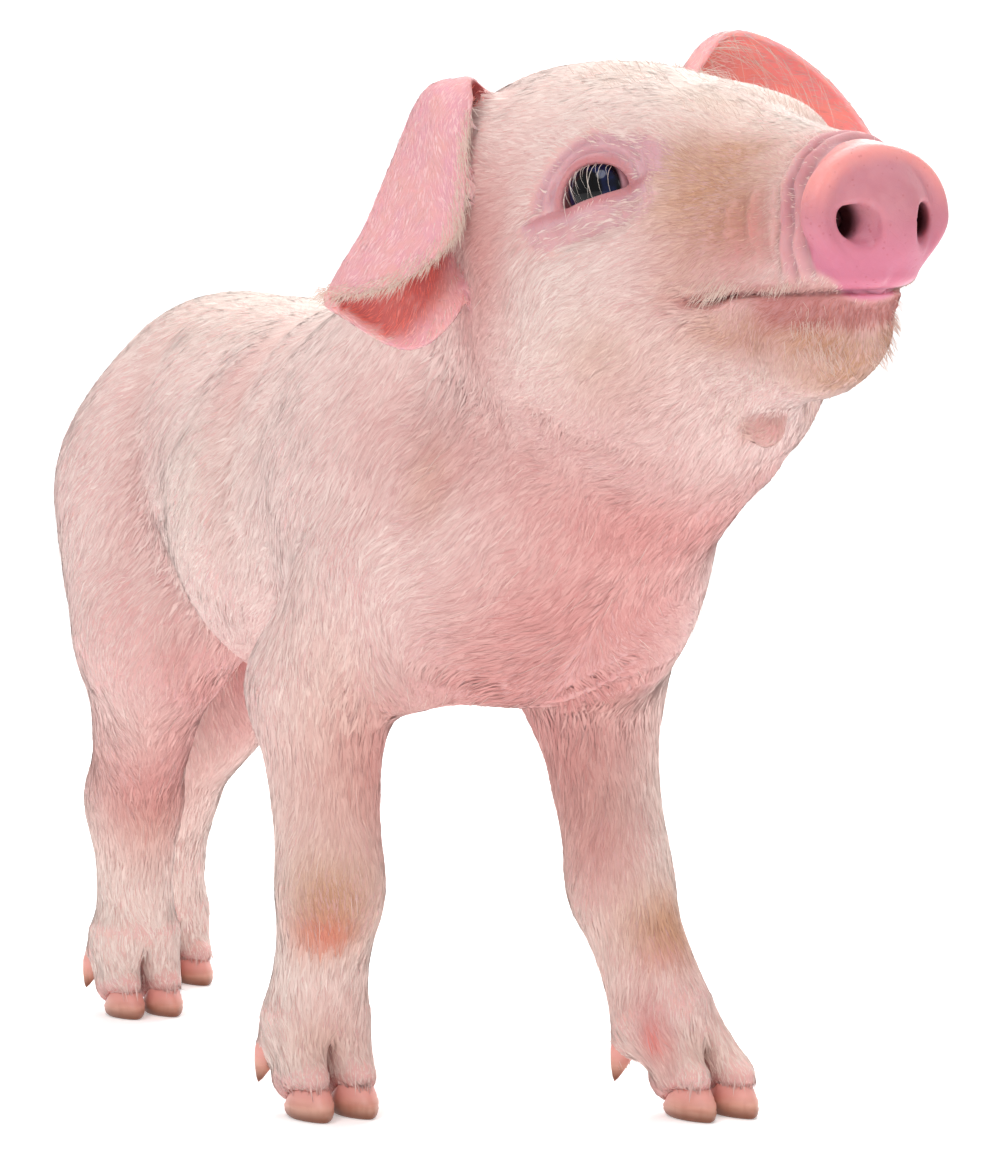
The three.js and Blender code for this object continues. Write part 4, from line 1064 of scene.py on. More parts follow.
class Wire:
    """One output of a shader node. Arithmetic on it adds Math nodes."""

    def __init__(self, tree, socket=None):
        self.tree, self.socket = tree, socket

    def node(self, kind, settings=None, sockets=None, out=0):
        made = self.tree.nodes.new(kind)
        for name, value in (settings or {}).items():
            if name == "stops":
                for n, (at, colour) in enumerate(value):
                    stop = made.color_ramp.elements[n] if n < 2 else made.color_ramp.elements.new(at)
                    stop.position, stop.color = at, colour
            else:
                setattr(made, name, value)
        for name, value in (sockets or {}).items():
            if isinstance(value, Wire):
                self.tree.links.new(value.socket, made.inputs[name])
            else:
                made.inputs[name].default_value = value
        return Wire(self.tree, made.outputs[out])

    def math(self, operation, a, b=0.0):
        return self.node("ShaderNodeMath", {"operation": operation}, {0: a, 1: b})

    def __add__(self, other):
        return self.math("ADD", self, other)

    __radd__ = __add__

    def __mul__(self, other):
        return self.math("MULTIPLY", self, other)

    __rmul__ = __mul__

    def __sub__(self, other):
        return self.math("SUBTRACT", self, other)

    def __rsub__(self, other):
        return self.math("SUBTRACT", other, self)

    def __truediv__(self, other):
        return self.math("DIVIDE", self, other)

    def __pow__(self, other):
        return self.math("POWER", self, other)

    def ease(self, low, high):
        return self.node("ShaderNodeMapRange", {"interpolation_type": "SMOOTHSTEP"},
                         {"Value": self, "From Min": low, "From Max": high})

    def blend(self, a, b):
        """Colour a where this is 0 and colour b where it is 1."""
        return self.node("ShaderNodeMix", {"data_type": "RGBA"}, {0: self, 6: a, 7: b}, 2)

    def mark(self, name):
        return self.node("ShaderNodeAttribute", {"attribute_name": name}, out=2)

    def noise(self, scale, detail=3.0, vector=None):
        sockets = {"Scale": scale, "Detail": detail}
        if vector is not None:
            sockets["Vector"] = vector
        return self.node("ShaderNodeTexNoise", {}, sockets)


def finish_for(name, constants):
    """A material with a Principled shader whose constants are set on it, and a place to start its values."""
    made = bpy.data.materials.new(name)
    made.use_nodes = True
    tree = made.node_tree
    tree.nodes.clear()
    shader = tree.nodes.new("ShaderNodeBsdfPrincipled")
    out = tree.nodes.new("ShaderNodeOutputMaterial")
    tree.links.new(shader.outputs[0], out.inputs[0])
    for socket, value in constants.items():
        shader.inputs[socket].default_value = value
    return made, Wire(tree), shader


def feed(tree, shader, **values):
    for name, value in values.items():
        tree.links.new(value.socket, shader.inputs[name.replace("_", " ")])


EAR_GLOW = 0.26  # strength of a painted glow on the thin raised ear, for the light that shines through it from behind
hide_finish, w, shader = finish_for("pig skin", {
    "Subsurface Weight": 0.35, "Subsurface Radius": (1.0, 0.36, 0.22), "Subsurface Scale": 0.0035,
    "IOR": 1.42, "Emission Strength": EAR_GLOW,
})
place = w.node("ShaderNodeTexCoord", out=3)
mottle = w.noise(160.0, 4.0, place).ease(0.32, 0.70)
fine = w.noise(900.0, 3.0, place)
patchy = w.noise(45.0, 2.0, place).ease(0.3, 0.7)
furred = w.mark("furred")
skin_tone = mottle.blend(paint(232, 176, 172), paint(222, 152, 152))
skin_tone = (patchy * 0.35).blend(skin_tone, paint(238, 192, 184))
skin_tone = (w.mark("cream") * 0.6).blend(skin_tone, paint(236, 202, 186))
# Redder skin, which on the undersides and in the creases is also painted shade.
skin_tone = (w.mark("blush_and_shade") * (0.75 + 0.35 * mottle)).blend(skin_tone, paint(206, 116, 116))
skin_tone = (w.mark("tan") * (0.55 + 0.55 * patchy)).blend(skin_tone, paint(186, 124, 96))
skin_tone = w.mark("salmon").blend(skin_tone, mottle.blend(paint(238, 166, 164), paint(232, 154, 172)))
skin_tone = w.mark("coral").blend(skin_tone, mottle.blend(paint(206, 74, 66), paint(196, 66, 66)))
lilac_tone = mottle.blend(paint(217, 170, 176), paint(207, 154, 161))
skin_tone = w.mark("lilac").blend(skin_tone, lilac_tone)
skin_tone = (w.mark("fold") * 0.8).blend(skin_tone, mottle.blend(paint(208, 154, 160), paint(198, 138, 146)))
# Red of the lips and lid rims, with painted shade at the mouth corners.
skin_tone = (w.mark("gum_and_shade") * 0.85).blend(skin_tone, paint(180, 94, 94))
skin_tone = (furred * 0.35).blend(skin_tone, paint(236, 206, 200))
disc_tone = mottle.blend(paint(208, 140, 150), paint(200, 128, 140))
disc_tone = w.mark("low_disc").blend(disc_tone, paint(204, 118, 142))
disc_tone = w.mark("rim").blend(disc_tone, paint(244, 160, 156))
dots = w.node("ShaderNodeTexVoronoi", {"feature": "F1"}, {"Vector": place, "Scale": 780.0, "Randomness": 1.0})
dots = dots.ease(0.26, 0.14) * w.noise(240.0, 1.0, place).ease(0.42, 0.6)
disc_tone = (dots * 0.25).blend(disc_tone, paint(180, 70, 84))
skin_tone = w.mark("disc").blend(skin_tone, disc_tone)
# Painted shade: near black in the nostrils, mouth slit, toe clefts, fold grooves and ear hollows.
skin_tone = w.mark("deep").blend(skin_tone, paint(52, 10, 12))
roughness = 0.58 - w.mark("disc") * 0.20 - w.mark("lilac") * 0.05 + fine * 0.06
wrinkle = w.node("ShaderNodeTexVoronoi", {"feature": "DISTANCE_TO_EDGE"}, {"Vector": place, "Scale": 520.0})
relief = fine * 0.5 + wrinkle.ease(0.0, 0.12) * (0.25 + 0.6 * w.mark("lilac")) - dots * 0.8
bump = w.node("ShaderNodeBump", {}, {"Strength": 0.35, "Distance": 0.00025, "Height": relief})
# Painted light: a warm glow on the raised left ear.
glow_tone = w.mark("glow").blend(paint(0, 0, 0), paint(236, 96, 40))
feed(w.tree, shader, Base_Color=skin_tone, Roughness=roughness, Emission_Color=glow_tone, Normal=bump)
hide_mesh.materials.append(hide_finish)


# ---- Eyes --------------------------------------------------------------------------------------
# Two wet balls of glassy eye, dark blue iris and black pupil, with a rim of pinkish white.
IRIS_RADIUS, CORNEA_RISE = 6.7, 0.5
LOOK = unit(EYE_GAZE * EYE_RADIUS - EYE_LONG * 1.1)  # the eye looks a little back


def eyeball(sign):
    """A ball with its pole on the gaze and the cornea standing a little proud."""
    ahead = unit(EYE_AHEAD - LOOK * (EYE_AHEAD @ LOOK))
    turn = np.stack([ahead, np.cross(LOOK, ahead), LOOK], 0)
    bands, around = 40, 56
    points, faces = [[0, 0, EYE_RADIUS + CORNEA_RISE]], []
    for i in range(1, bands):
        tilt = math.pi * i / bands
        out = EYE_RADIUS * math.sin(tilt)
        rise = CORNEA_RISE * math.exp(-((out / IRIS_RADIUS) ** 4)) if tilt < math.pi / 2 else 0
        for k in range(around):
            a = 2 * math.pi * k / around
            r = EYE_RADIUS + rise
            aside = r * math.sin(tilt)
            points.append([aside * math.cos(a), aside * math.sin(a), r * math.cos(tilt)])
    points.append([0, 0, -EYE_RADIUS])
    for k in range(around):
        n = (k + 1) % around
        faces.append([0, 1 + k, 1 + n])
        for i in range(bands - 2):
            a, b = 1 + i * around, 1 + (i + 1) * around
            faces.append([a + k, b + k, b + n, a + n])
        last = 1 + (bands - 2) * around
        faces.append([len(points) - 1, last + n, last + k])
    local = np.array(points) @ turn
    local = (local + EYE_AT) * [1 if sign < 0 else -1, 1, 1]
    made = to_frame(from_head(local))
    if sign < 0:
        faces = [f[::-1] for f in faces]
    return made, faces


eye_finish, w, shader = finish_for("wet eye", {
    "Coat Weight": 1.0, "Coat Roughness": 0.015, "Coat IOR": 1.36,
    "IOR": 1.3, "Specular IOR Level": 0.0, "Roughness": 0.3,
})
out_of_axis = w.mark("off_gaze")
streaks = w.noise(420.0, 4.0, w.node("ShaderNodeTexCoord", out=3))
iris_tone = streaks.ease(0.3, 0.75).blend(paint(10, 14, 36), paint(30, 42, 92))
eye_tone = out_of_axis.ease(0.52, 0.66).blend(paint(3, 3, 7), iris_tone)
eye_tone = out_of_axis.ease(0.84, 0.96).blend(eye_tone, paint(8, 8, 16))
white_tone = streaks.ease(0.4, 0.8).blend(paint(214, 168, 178), paint(196, 132, 140))
eye_tone = out_of_axis.ease(0.98, 1.05).blend(eye_tone, white_tone)
feed(w.tree, shader, Base_Color=eye_tone)
for sign, word in ((-1, "right"), (1, "left")):
    points, faces = eyeball(sign)
    mesh = bpy.data.meshes.new(f"eyeball_{word}")
    mesh.from_pydata(points.tolist(), [], faces)
    mesh.shade_smooth()
    middle = EYE_AT * [1 if sign < 0 else -1, 1, 1]
    gaze = LOOK * [1 if sign < 0 else -1, 1, 1]
    off = to_head(points * 1000 - SHIFT) - middle
    far = np.sqrt(np.maximum((off * off).sum(1) - (off @ gaze) ** 2, 0)) / IRIS_RADIUS
    far[off @ gaze < 0] = 2
    set_mark(mesh, "off_gaze", far)
    mesh.materials.append(eye_finish)
    placed(f"eyeball_{word}", mesh, "eye", f"eye_{word}")


# ---- Claws -------------------------------------------------------------------------------------
# Two horn claws under each foot and two small dewclaws behind it, ringed by growth, worn at the sole.
horn_finish, w, shader = finish_for("claw horn", {
    "Subsurface Weight": 0.15, "Subsurface Radius": (1.0, 0.5, 0.3), "Subsurface Scale": 0.002, "IOR": 1.5,
})
place = w.node("ShaderNodeTexCoord", out=3)
up_claw = w.mark("up_claw")
bands = w.noise(60.0, 3.0, w.node("ShaderNodeMapping", {}, {"Vector": place, "Scale": (1.5, 1.5, 9.0)}))
streak = w.noise(60.0, 4.0, w.node("ShaderNodeMapping", {}, {"Vector": place, "Scale": (7.0, 7.0, 1.2)}))
horn_tone = bands.ease(0.3, 0.7).blend(paint(200, 142, 122), paint(218, 168, 148))
horn_tone = (streak.ease(0.5, 0.8) * 0.35).blend(horn_tone, paint(170, 106, 82))
horn_tone = up_claw.ease(0.25, 0.72).blend(horn_tone, paint(230, 164, 154))
horn_tone = (up_claw.ease(0.82, 0.98) * 0.6).blend(horn_tone, paint(236, 204, 198))
horn_tone = (up_claw.ease(0.42, 0.04) * 0.95).blend(horn_tone, paint(122, 70, 46))
relief = bands * 0.6 + streak * 0.4
bump = w.node("ShaderNodeBump", {}, {"Strength": 0.35, "Distance": 0.0002, "Height": relief})
feed(w.tree, shader, Base_Color=horn_tone, Roughness=0.30 + 0.25 * streak, Normal=bump)


CLAW_SLIM = 0.97  # the horn is slimmer than the solid it stands for
GROWTH_RING = 0.012  # how far the rings of growth stand out, as a share
DEWCLAW_TAPER = ([0, 0.25, 0.6, 0.9, 1], [1.0, 1, 0.66, 0.26, 0.04])
DEWCLAW_RADIUS, DEWCLAW_WIDE, DEWCLAW_DEEP = 3.1, 1.05, 0.85


def horn_piece(name, rings, shares, node):
    """A closed horn through rings of points, closed by a fan at each end."""
    n = len(rings[0])
    points = np.vstack(rings + [rings[0].mean(0)[None], rings[-1].mean(0)[None]])
    share = np.concatenate([np.repeat(shares, n), [shares[0], shares[-1]]])
    faces = []
    for r in range(len(rings) - 1):
        for k in range(n):
            a, b = r * n + k, r * n + (k + 1) % n
            faces.append([a, b, b + n, a + n])
    last = (len(rings) - 1) * n
    for k in range(n):
        nxt = (k + 1) % n
        faces.append([nxt, k, len(points) - 2])
        faces.append([last + k, last + nxt, len(points) - 1])
    mesh = bpy.data.meshes.new(name)
    mesh.from_pydata(to_frame(points).tolist(), [], faces)
    solid = bmesh.new()
    solid.from_mesh(mesh)
    bmesh.ops.recalc_face_normals(solid, faces=solid.faces)
    solid.to_mesh(mesh)
    solid.free()
    mesh.shade_smooth()
    set_mark(mesh, "up_claw", share)
    mesh.materials.append(horn_finish)
    placed(name, mesh, "horn", node)


for name in FEET:
    for aside, word in ((-1, "right"), (1, "left")):
        toe = FEET[name][4]
        turn = np.linspace(0, 2 * math.pi, 40, endpoint=False)
        shares = np.concatenate([[0.0, 0.012, 0.04, 0.09], np.linspace(0.16, 1.0, 13)])
        rings = []
        for n, share in enumerate(shares):
            x, y, z = claw_reach(share, turn)
            ripple_out = 1 + GROWTH_RING * math.sin(share * 34) * (0.1 < share < 0.9)
            edge = 0.93 if n == 0 else 1.0
            slim = CLAW_SLIM * (1 - 0.12 * max(0, share - 0.5))
            rings.append(np.stack([toe[0] + aside * (TOE_APART - 0.3) + x * slim * ripple_out * edge,
                                   toe[1] + 1 + y * ripple_out * edge, z], 1))
        horn_piece(f"horn_{name}_{word}", rings, shares, f"claw_{name}_{word}")
        root = dewclaw_root(name, aside)
        tip = root + [aside * 2.0, 1.0, -DEWCLAW_LENGTH]
        along = unit(tip - root)
        one = unit(np.cross(along, [0, 1, 0.3]))
        two = np.cross(along, one)
        rings, shares = [], np.linspace(0, 1, 12)
        for t in shares:
            radius = DEWCLAW_RADIUS * np.interp(t, *DEWCLAW_TAPER)
            ring = root + along * (t * 1.22 - 0.15) * DEWCLAW_LENGTH + np.array([aside * 0.9 * t, 0, 0])
            wide, deep = np.cos(turn)[:, None] * one, np.sin(turn)[:, None] * two
            ring = ring + radius * (wide * DEWCLAW_WIDE + deep * DEWCLAW_DEEP)
            rings.append(ring + np.array([0, -1.2, 0]) * t * t)
        horn_piece(f"dewhorn_{name}_{word}", rings, 1 - shares, f"dewclaw_{name}_{word}")


# ---- Coat --------------------------------------------------------------------------------------
# Fine pale bristles in small tufts, lying back along the head and body and down the legs. Each hair
# is a thin closed blade, thickest in the middle, rooted in the hide and laid along it.
PAINTED_HAIR_GLOW = 0.12  # strength of a painted glow in each hair's own colour, for the light a hair passes on to its far side
coat_finish, w, shader = finish_for("pale bristle", {
    "Roughness": 0.6, "IOR": 1.3, "Emission Strength": PAINTED_HAIR_GLOW,
})
tip = w.mark("tip")
shade = w.mark("shade")
hair_tone = shade.blend(paint(212, 175, 171), paint(232, 214, 207))
hair_tone = (w.mark("cream") * 0.8).blend(hair_tone, shade.blend(paint(219, 206, 192), paint(240, 235, 224)))
# Redder hair, which on the undersides and in the creases is also painted shade.
hair_tone = (w.mark("blush_and_shade") * 0.95).blend(hair_tone, shade.blend(paint(187, 116, 113), paint(205, 144, 139)))
hair_tone = (w.mark("tan") * 0.95).blend(hair_tone, shade.blend(paint(164, 114, 84), paint(198, 150, 114)))
hair_tone = (w.mark("salmon") * 0.7).blend(hair_tone, shade.blend(paint(238, 164, 174), paint(248, 200, 204)))
hair_tone = (w.mark("coral") * 0.95).blend(hair_tone, shade.blend(paint(222, 88, 76), paint(232, 110, 98)))
# Red hair at the lips, with painted shade at the mouth corners.
hair_tone = (w.mark("gum_and_shade") * 0.85).blend(hair_tone, shade.blend(paint(160, 84, 82), paint(186, 114, 106)))
hair_tone = ((1 - tip) * 0.28).blend(hair_tone, paint(222, 170, 164))
# Painted light: each hair glows faintly in its own colour, which lightens the hairs in shade.
feed(w.tree, shader, Base_Color=hair_tone, Emission_Color=hair_tone)

triangles = np.array([[f[0], f[k], f[k + 1]] for f in hide_faces for k in range(1, len(f) - 1)])
tri_points = p[triangles]
tri_normal = np.cross(tri_points[:, 1] - tri_points[:, 0], tri_points[:, 2] - tri_points[:, 0])
tri_area = np.linalg.norm(tri_normal, axis=1) / 2
vertex_normal = np.zeros_like(p)
for k in range(3):
    np.add.at(vertex_normal, triangles[:, k], tri_normal)
vertex_normal = unit(vertex_normal)
tri_middle = tri_points.mean(1)
hide_tree = BVHTree.FromPolygons(p.tolist(), triangles.tolist())

# The hide unrolled: each part round its own middle line, side by side on one sheet.
LEG_CELLS = {"front_right": 0, "front_left": 1, "hind_right": 2, "hind_left": 3}


def unrolled(where):
    """A place from 0 to 1 on the sheet for each point of the hide."""
    h = to_head(where)
    spot = np.zeros((len(where), 2))
    head = h[:, 1] > -46
    turn = np.arctan2(h[:, 0], h[:, 2] - 14) / (2 * math.pi) + 0.5
    spot[:, 0], spot[:, 1] = 0.02 + 0.46 * turn, 0.55 + 0.43 * (h[:, 1] + 62) / 126
    turn = np.arctan2(where[:, 0], where[:, 2] - 145) / (2 * math.pi) + 0.5
    trunk = ~head & (where[:, 2] > 92)
    spot[trunk, 0] = 0.52 + 0.46 * turn[trunk]
    spot[trunk, 1] = 0.55 + 0.43 * (where[trunk, 1] + 70) / 340
    legs = ~head & ~trunk
    for leg, cell in LEG_CELLS.items():
        hip, elbow, knee, fetlock, toe = FEET[leg]
        mine = legs & ((where[:, 0] < 0) == (hip[0] < 0)) & ((where[:, 1] > 100) == leg.startswith("hind"))
        cx = np.interp(where[:, 2], [0, 24, 51, 99], [toe[0], fetlock[0], knee[0], elbow[0]])
        cy = np.interp(where[:, 2], [0, 24, 51, 99], [toe[1], fetlock[1], knee[1], elbow[1]])
        turn = np.arctan2(where[:, 0] - cx, where[:, 1] - cy) / (2 * math.pi) + 0.5
        spot[mine, 0] = 0.01 + 0.25 * cell + 0.22 * turn[mine]
        spot[mine, 1] = 0.14 + 0.38 * where[mine, 2] / 100
    for n, ear in enumerate(EARS.values()):
        k = np.flatnonzero(ear.within(where, 3))
        if len(k):
            away, face, weight = ear.place(where[k])
            mine = away < 2.2
            spot[k[mine], 0] = 0.02 + 0.5 * n + 0.44 * ((ear.across[face] * weight).sum(1)[mine] + 1) / 2
            spot[k[mine], 1] = 0.01 + 0.11 * (ear.along[face] * weight).sum(1)[mine]
    return spot


def coat_mesh(name, points, triangles, spot, marks, normals=None):
    mesh = bpy.data.meshes.new(name)
    mesh.vertices.add(len(points))
    mesh.vertices.foreach_set("co", to_frame(points).astype(np.float32).ravel())
    mesh.loops.add(triangles.size)
    mesh.loops.foreach_set("vertex_index", triangles.astype(np.int32).ravel())
    mesh.polygons.add(len(triangles))
    mesh.polygons.foreach_set("loop_start", np.arange(0, triangles.size, 3, dtype=np.int32))
    mesh.polygons.foreach_set("loop_total", np.full(len(triangles), 3, np.int32))
    mesh.update(calc_edges=True)
    mesh.shade_smooth()
    if normals is not None:
        mesh.normals_split_custom_set_from_vertices(normals.tolist())
    layer = mesh.uv_layers.new(name="OFBake")
    layer.data.foreach_set("uv", spot[triangles.ravel()].astype(np.float32).ravel())
    for mark, value in marks.items():
        set_mark(mesh, mark, value)
    mesh.materials.append(coat_finish)
    piece = placed(name, mesh, "skin")
    piece.visible_shadow = False  # hair this fine lets the light through


PATCH = 0.003  # each hair's place on the sheet
STRAND = np.array([[0, 2, 1], [3, 1, 2], [0, 1, 3], [0, 3, 2]])
STRAND_SPOT = np.array([[0, -0.5], [0.5, 0.0], [-0.5, 0.0], [0, 0.5]]) * PATCH
HAIR_MARKS = ("blush_and_shade", "tan", "cream", "salmon", "coral", "gum_and_shade")


def onto_hide(where, most=3.0):
    """Each point and its normal on the hide, or unmoved where the hide is far."""
    found = [hide_tree.find_nearest(x) for x in where.tolist()]
    spot = np.array([f[0] for f in found])
    normal = np.array([f[1] for f in found])
    far = np.array([f[3] for f in found]) > most
    spot[far] = where[far]
    return spot, normal


def sow(weight, count, rng):
    """Random places on the hide: their triangles' corners, and the share of each corner."""
    chosen = rng.choice(len(triangles), count, p=weight / weight.sum())
    r = rng.random((count, 2))
    r = np.where(r.sum(1, keepdims=True) > 1, 1 - r, r)
    return triangles[chosen], np.stack([1 - r.sum(1), r[:, 0], r[:, 1]], 1)


def whole_sheet(spot):
    """The part of the sheet that a piece uses, drawn out to the whole of it."""
    low, high = spot.min(0), spot.max(0)
    return PATCH + (1 - 2 * PATCH) * (spot - low) / np.maximum(high - low, 1e-6)


def plant(name, where, density, seed, width, rise=0.07, stray=0.13):
    """Hairs sown over the part of the hide that where(middles) picks, as one piece."""
    rng = np.random.default_rng(seed)
    weight = tri_area * growth[triangles].mean(1) * where(tri_middle)
    count = int(weight.sum() * density)
    corners, share = sow(weight, count, rng)

    def at_root(value):
        return (value[corners] * share.reshape(share.shape + (1,) * (value.ndim - 1))).sum(1)

    root, normal, way = at_root(p), unit(at_root(vertex_normal)), at_root(lie)
    way = unit(way - normal * (way * normal).sum(1, keepdims=True))
    across = np.cross(normal, way)
    turn = 0.26 * ripple(root, 23, seed) + 0.16 * ripple(root, 8, seed + 1) + rng.normal(0, stray, count)
    way = way * np.cos(turn)[:, None] + across * np.sin(turn)[:, None]
    across = np.cross(normal, way)
    long = at_root(length) * rng.uniform(0.7, 1.25, count)
    bow = rng.normal(0, 0.05, count) * long
    middle, middle_normal = onto_hide(root + way * (long * 0.45)[:, None] + across * bow[:, None])
    end, end_normal = onto_hide(root + way * long[:, None])
    lift = rise * (rng.uniform(0.5, 1.4, count) + 2.5 * rng.random(count) ** 12)
    start = root - normal * 0.03
    end = end + end_normal * (lift * rng.uniform(-0.4, 1.5, count))[:, None]
    middle = middle + middle_normal * lift[:, None]
    stray_end = ((end - start) * way).sum(1) < 0.5 * long  # it landed on another part, so it is laid straight
    end[stray_end] = (root + way * (long * 0.6)[:, None] + normal * 0.1)[stray_end]
    middle[stray_end] = (root + way * (long * 0.3)[:, None] + normal * 0.15)[stray_end]
    half = across * (width / 2 * rng.uniform(0.65, 1.3, count))[:, None]
    up = unit(np.cross(end - start, half))
    above = ((middle - start) * up).sum(1)
    middle = middle + up * np.maximum(0.03 - above, 0)[:, None]  # over a hollow it bridges
    points = np.stack([start, middle + half, middle - half, end], 1).reshape(-1, 3)
    lean = across * rng.normal(0, 0.16, count)[:, None]
    normals = np.stack([normal + lean, middle_normal + lean, middle_normal + lean, end_normal + lean], 1)
    faces = (np.arange(count)[:, None, None] * 4 + STRAND[None]).reshape(-1, 3)
    spots = (whole_sheet(unrolled(root))[:, None] + STRAND_SPOT[None]).reshape(-1, 2)
    marks = {mark: np.repeat(at_root(MARKS[mark]), 4) for mark in HAIR_MARKS}
    marks["tip"] = np.tile([0.0, 0.6, 0.6, 1.0], count)
    shade = 0.5 + 0.07 * ripple(root, 5, seed + 2) + rng.normal(0, 0.25, count)
    marks["shade"] = np.repeat(np.clip(shade, 0, 1), 4)
    coat_mesh(name, points, faces, spots, marks, unit(normals.reshape(-1, 3)))


def part(low=-999, high=999, axis=1, on="body"):
    def chosen(middle):
        at = to_head(middle) if on == "head" else middle
        return ((at[:, axis] >= low) & (at[:, axis] < high)).astype(float)

    return chosen


def both(*tests):
    def chosen(middle):
        return np.prod([test(middle) for test in tests], 0)

    return chosen


is_head = part(-46, 999, 1, "head")
not_head = part(-999, -46, 1, "head")
low_leg, trunk_up = part(-9, 96, 2), part(96, 999, 2)
right, left = part(-999, 0, 0), part(0, 999, 0)
head_right, head_left = part(-99, 0, 0, "head"), part(0, 99, 0, "head")
fore, aft = part(2, 99, 1, "head"), part(-46, 2, 1, "head")
plant("coat_face_right", both(is_head, fore, head_right), 6.5, 1, 0.11)
plant("coat_face_left", both(is_head, fore, head_left), 4.2, 2, 0.13)
plant("coat_cheek_right", both(is_head, aft, head_right), 3.8, 3, 0.14)
plant("coat_cheek_left", both(is_head, aft, head_left), 2.5, 4, 0.17)
neck_only = both(not_head, trunk_up, part(-999, 8, 1))
plant("coat_neck_right", both(neck_only, right), 2.6, 5, 0.17)
plant("coat_neck_left", both(neck_only, left), 2.2, 14, 0.18)
plant("coat_shoulder_right", both(not_head, trunk_up, right, part(8, 90, 1)), 2.3, 6, 0.18)
plant("coat_shoulder_left", both(not_head, trunk_up, left, part(8, 90, 1)), 1.8, 7, 0.2)
plant("coat_flank_right", both(trunk_up, right, part(90, 999, 1)), 1.75, 8, 0.2)
plant("coat_flank_left", both(trunk_up, left, part(90, 999, 1)), 1.4, 9, 0.21)
plant("coat_leg_front_right", both(low_leg, right, part(-99, 100, 1)), 2.4, 10, 0.16)
plant("coat_leg_front_left", both(low_leg, left, part(-99, 100, 1)), 2.3, 11, 0.16)
plant("coat_leg_hind_right", both(low_leg, right, part(100, 999, 1)), 2.0, 12, 0.18)
plant("coat_leg_hind_left", both(low_leg, left, part(100, 999, 1)), 1.9, 13, 0.18)


# ---- Long hairs --------------------------------------------------------------------------------
# Single long bristles: the lashes, the fringe round each ear, the fan before the far ear, and the
# whiskers of lip and chin. Each is a curved three-sided rod drawn out to a point.
ROD_RINGS = 5


def rods(name, root, way, curl, long, width, marks, seed):
    """Hairs from root along way, bending towards curl, closed at the root and drawn to a point."""
    rng = np.random.default_rng(seed)
    count = len(root)
    t = np.linspace(0, 1, ROD_RINGS + 1)
    way, curl, long = unit(way), np.asarray(curl), np.asarray(long)
    sheet = whole_sheet(unrolled(root))
    line = root[:, None] + (way[:, None] * t[:, None] + curl[:, None] * (t**2)[:, None]) * long[:, None, None]
    line = line - way[:, None] * 0.3
    one = unit(np.cross(way, curl + [1e-4, 2e-4, 3e-4]))
    two = unit(np.cross(way, one))
    points, spots, tips = [], [], []
    for k in range(ROD_RINGS):
        half = width / 2 * (1 - 0.75 * t[k] ** 1.5)
        for corner in range(3):
            a = 2 * math.pi * corner / 3
            points.append(line[:, k] + half * (one * math.cos(a) + two * math.sin(a)))
            dip = 0.4 if k == 0 and corner == 1 else 0  # gives the root's own face some room on the sheet
            spots.append(sheet + np.array([corner / 2 - 0.5, t[k] - 0.5 - dip]) * PATCH)
            tips.append(t[k])
    points.append(line[:, -1])
    spots.append(sheet + np.array([0, 0.5]) * PATCH)
    tips.append(1.0)
    faces = [[0, 2, 1]]
    for k in range(ROD_RINGS - 1):
        for corner in range(3):
            a, b = 3 * k + corner, 3 * k + (corner + 1) % 3
            faces += [[a, b, b + 3], [a, b + 3, a + 3]]
    last = 3 * (ROD_RINGS - 1)
    faces += [[last, last + 1, last + 3], [last + 1, last + 2, last + 3], [last + 2, last, last + 3]]
    each = len(points)
    points, spots = np.stack(points, 1).reshape(-1, 3), np.stack(spots, 1).reshape(-1, 2)
    faces = (np.arange(count)[:, None, None] * each + np.array(faces)[None]).reshape(-1, 3)
    made = {mark: np.full(len(points), float(marks.get(mark, 0))) for mark in HAIR_MARKS}
    made["tip"] = np.tile(tips, count)
    made["shade"] = np.repeat(rng.uniform(0.4, 1.0, count), each)
    coat_mesh(name, points, faces, spots, made)


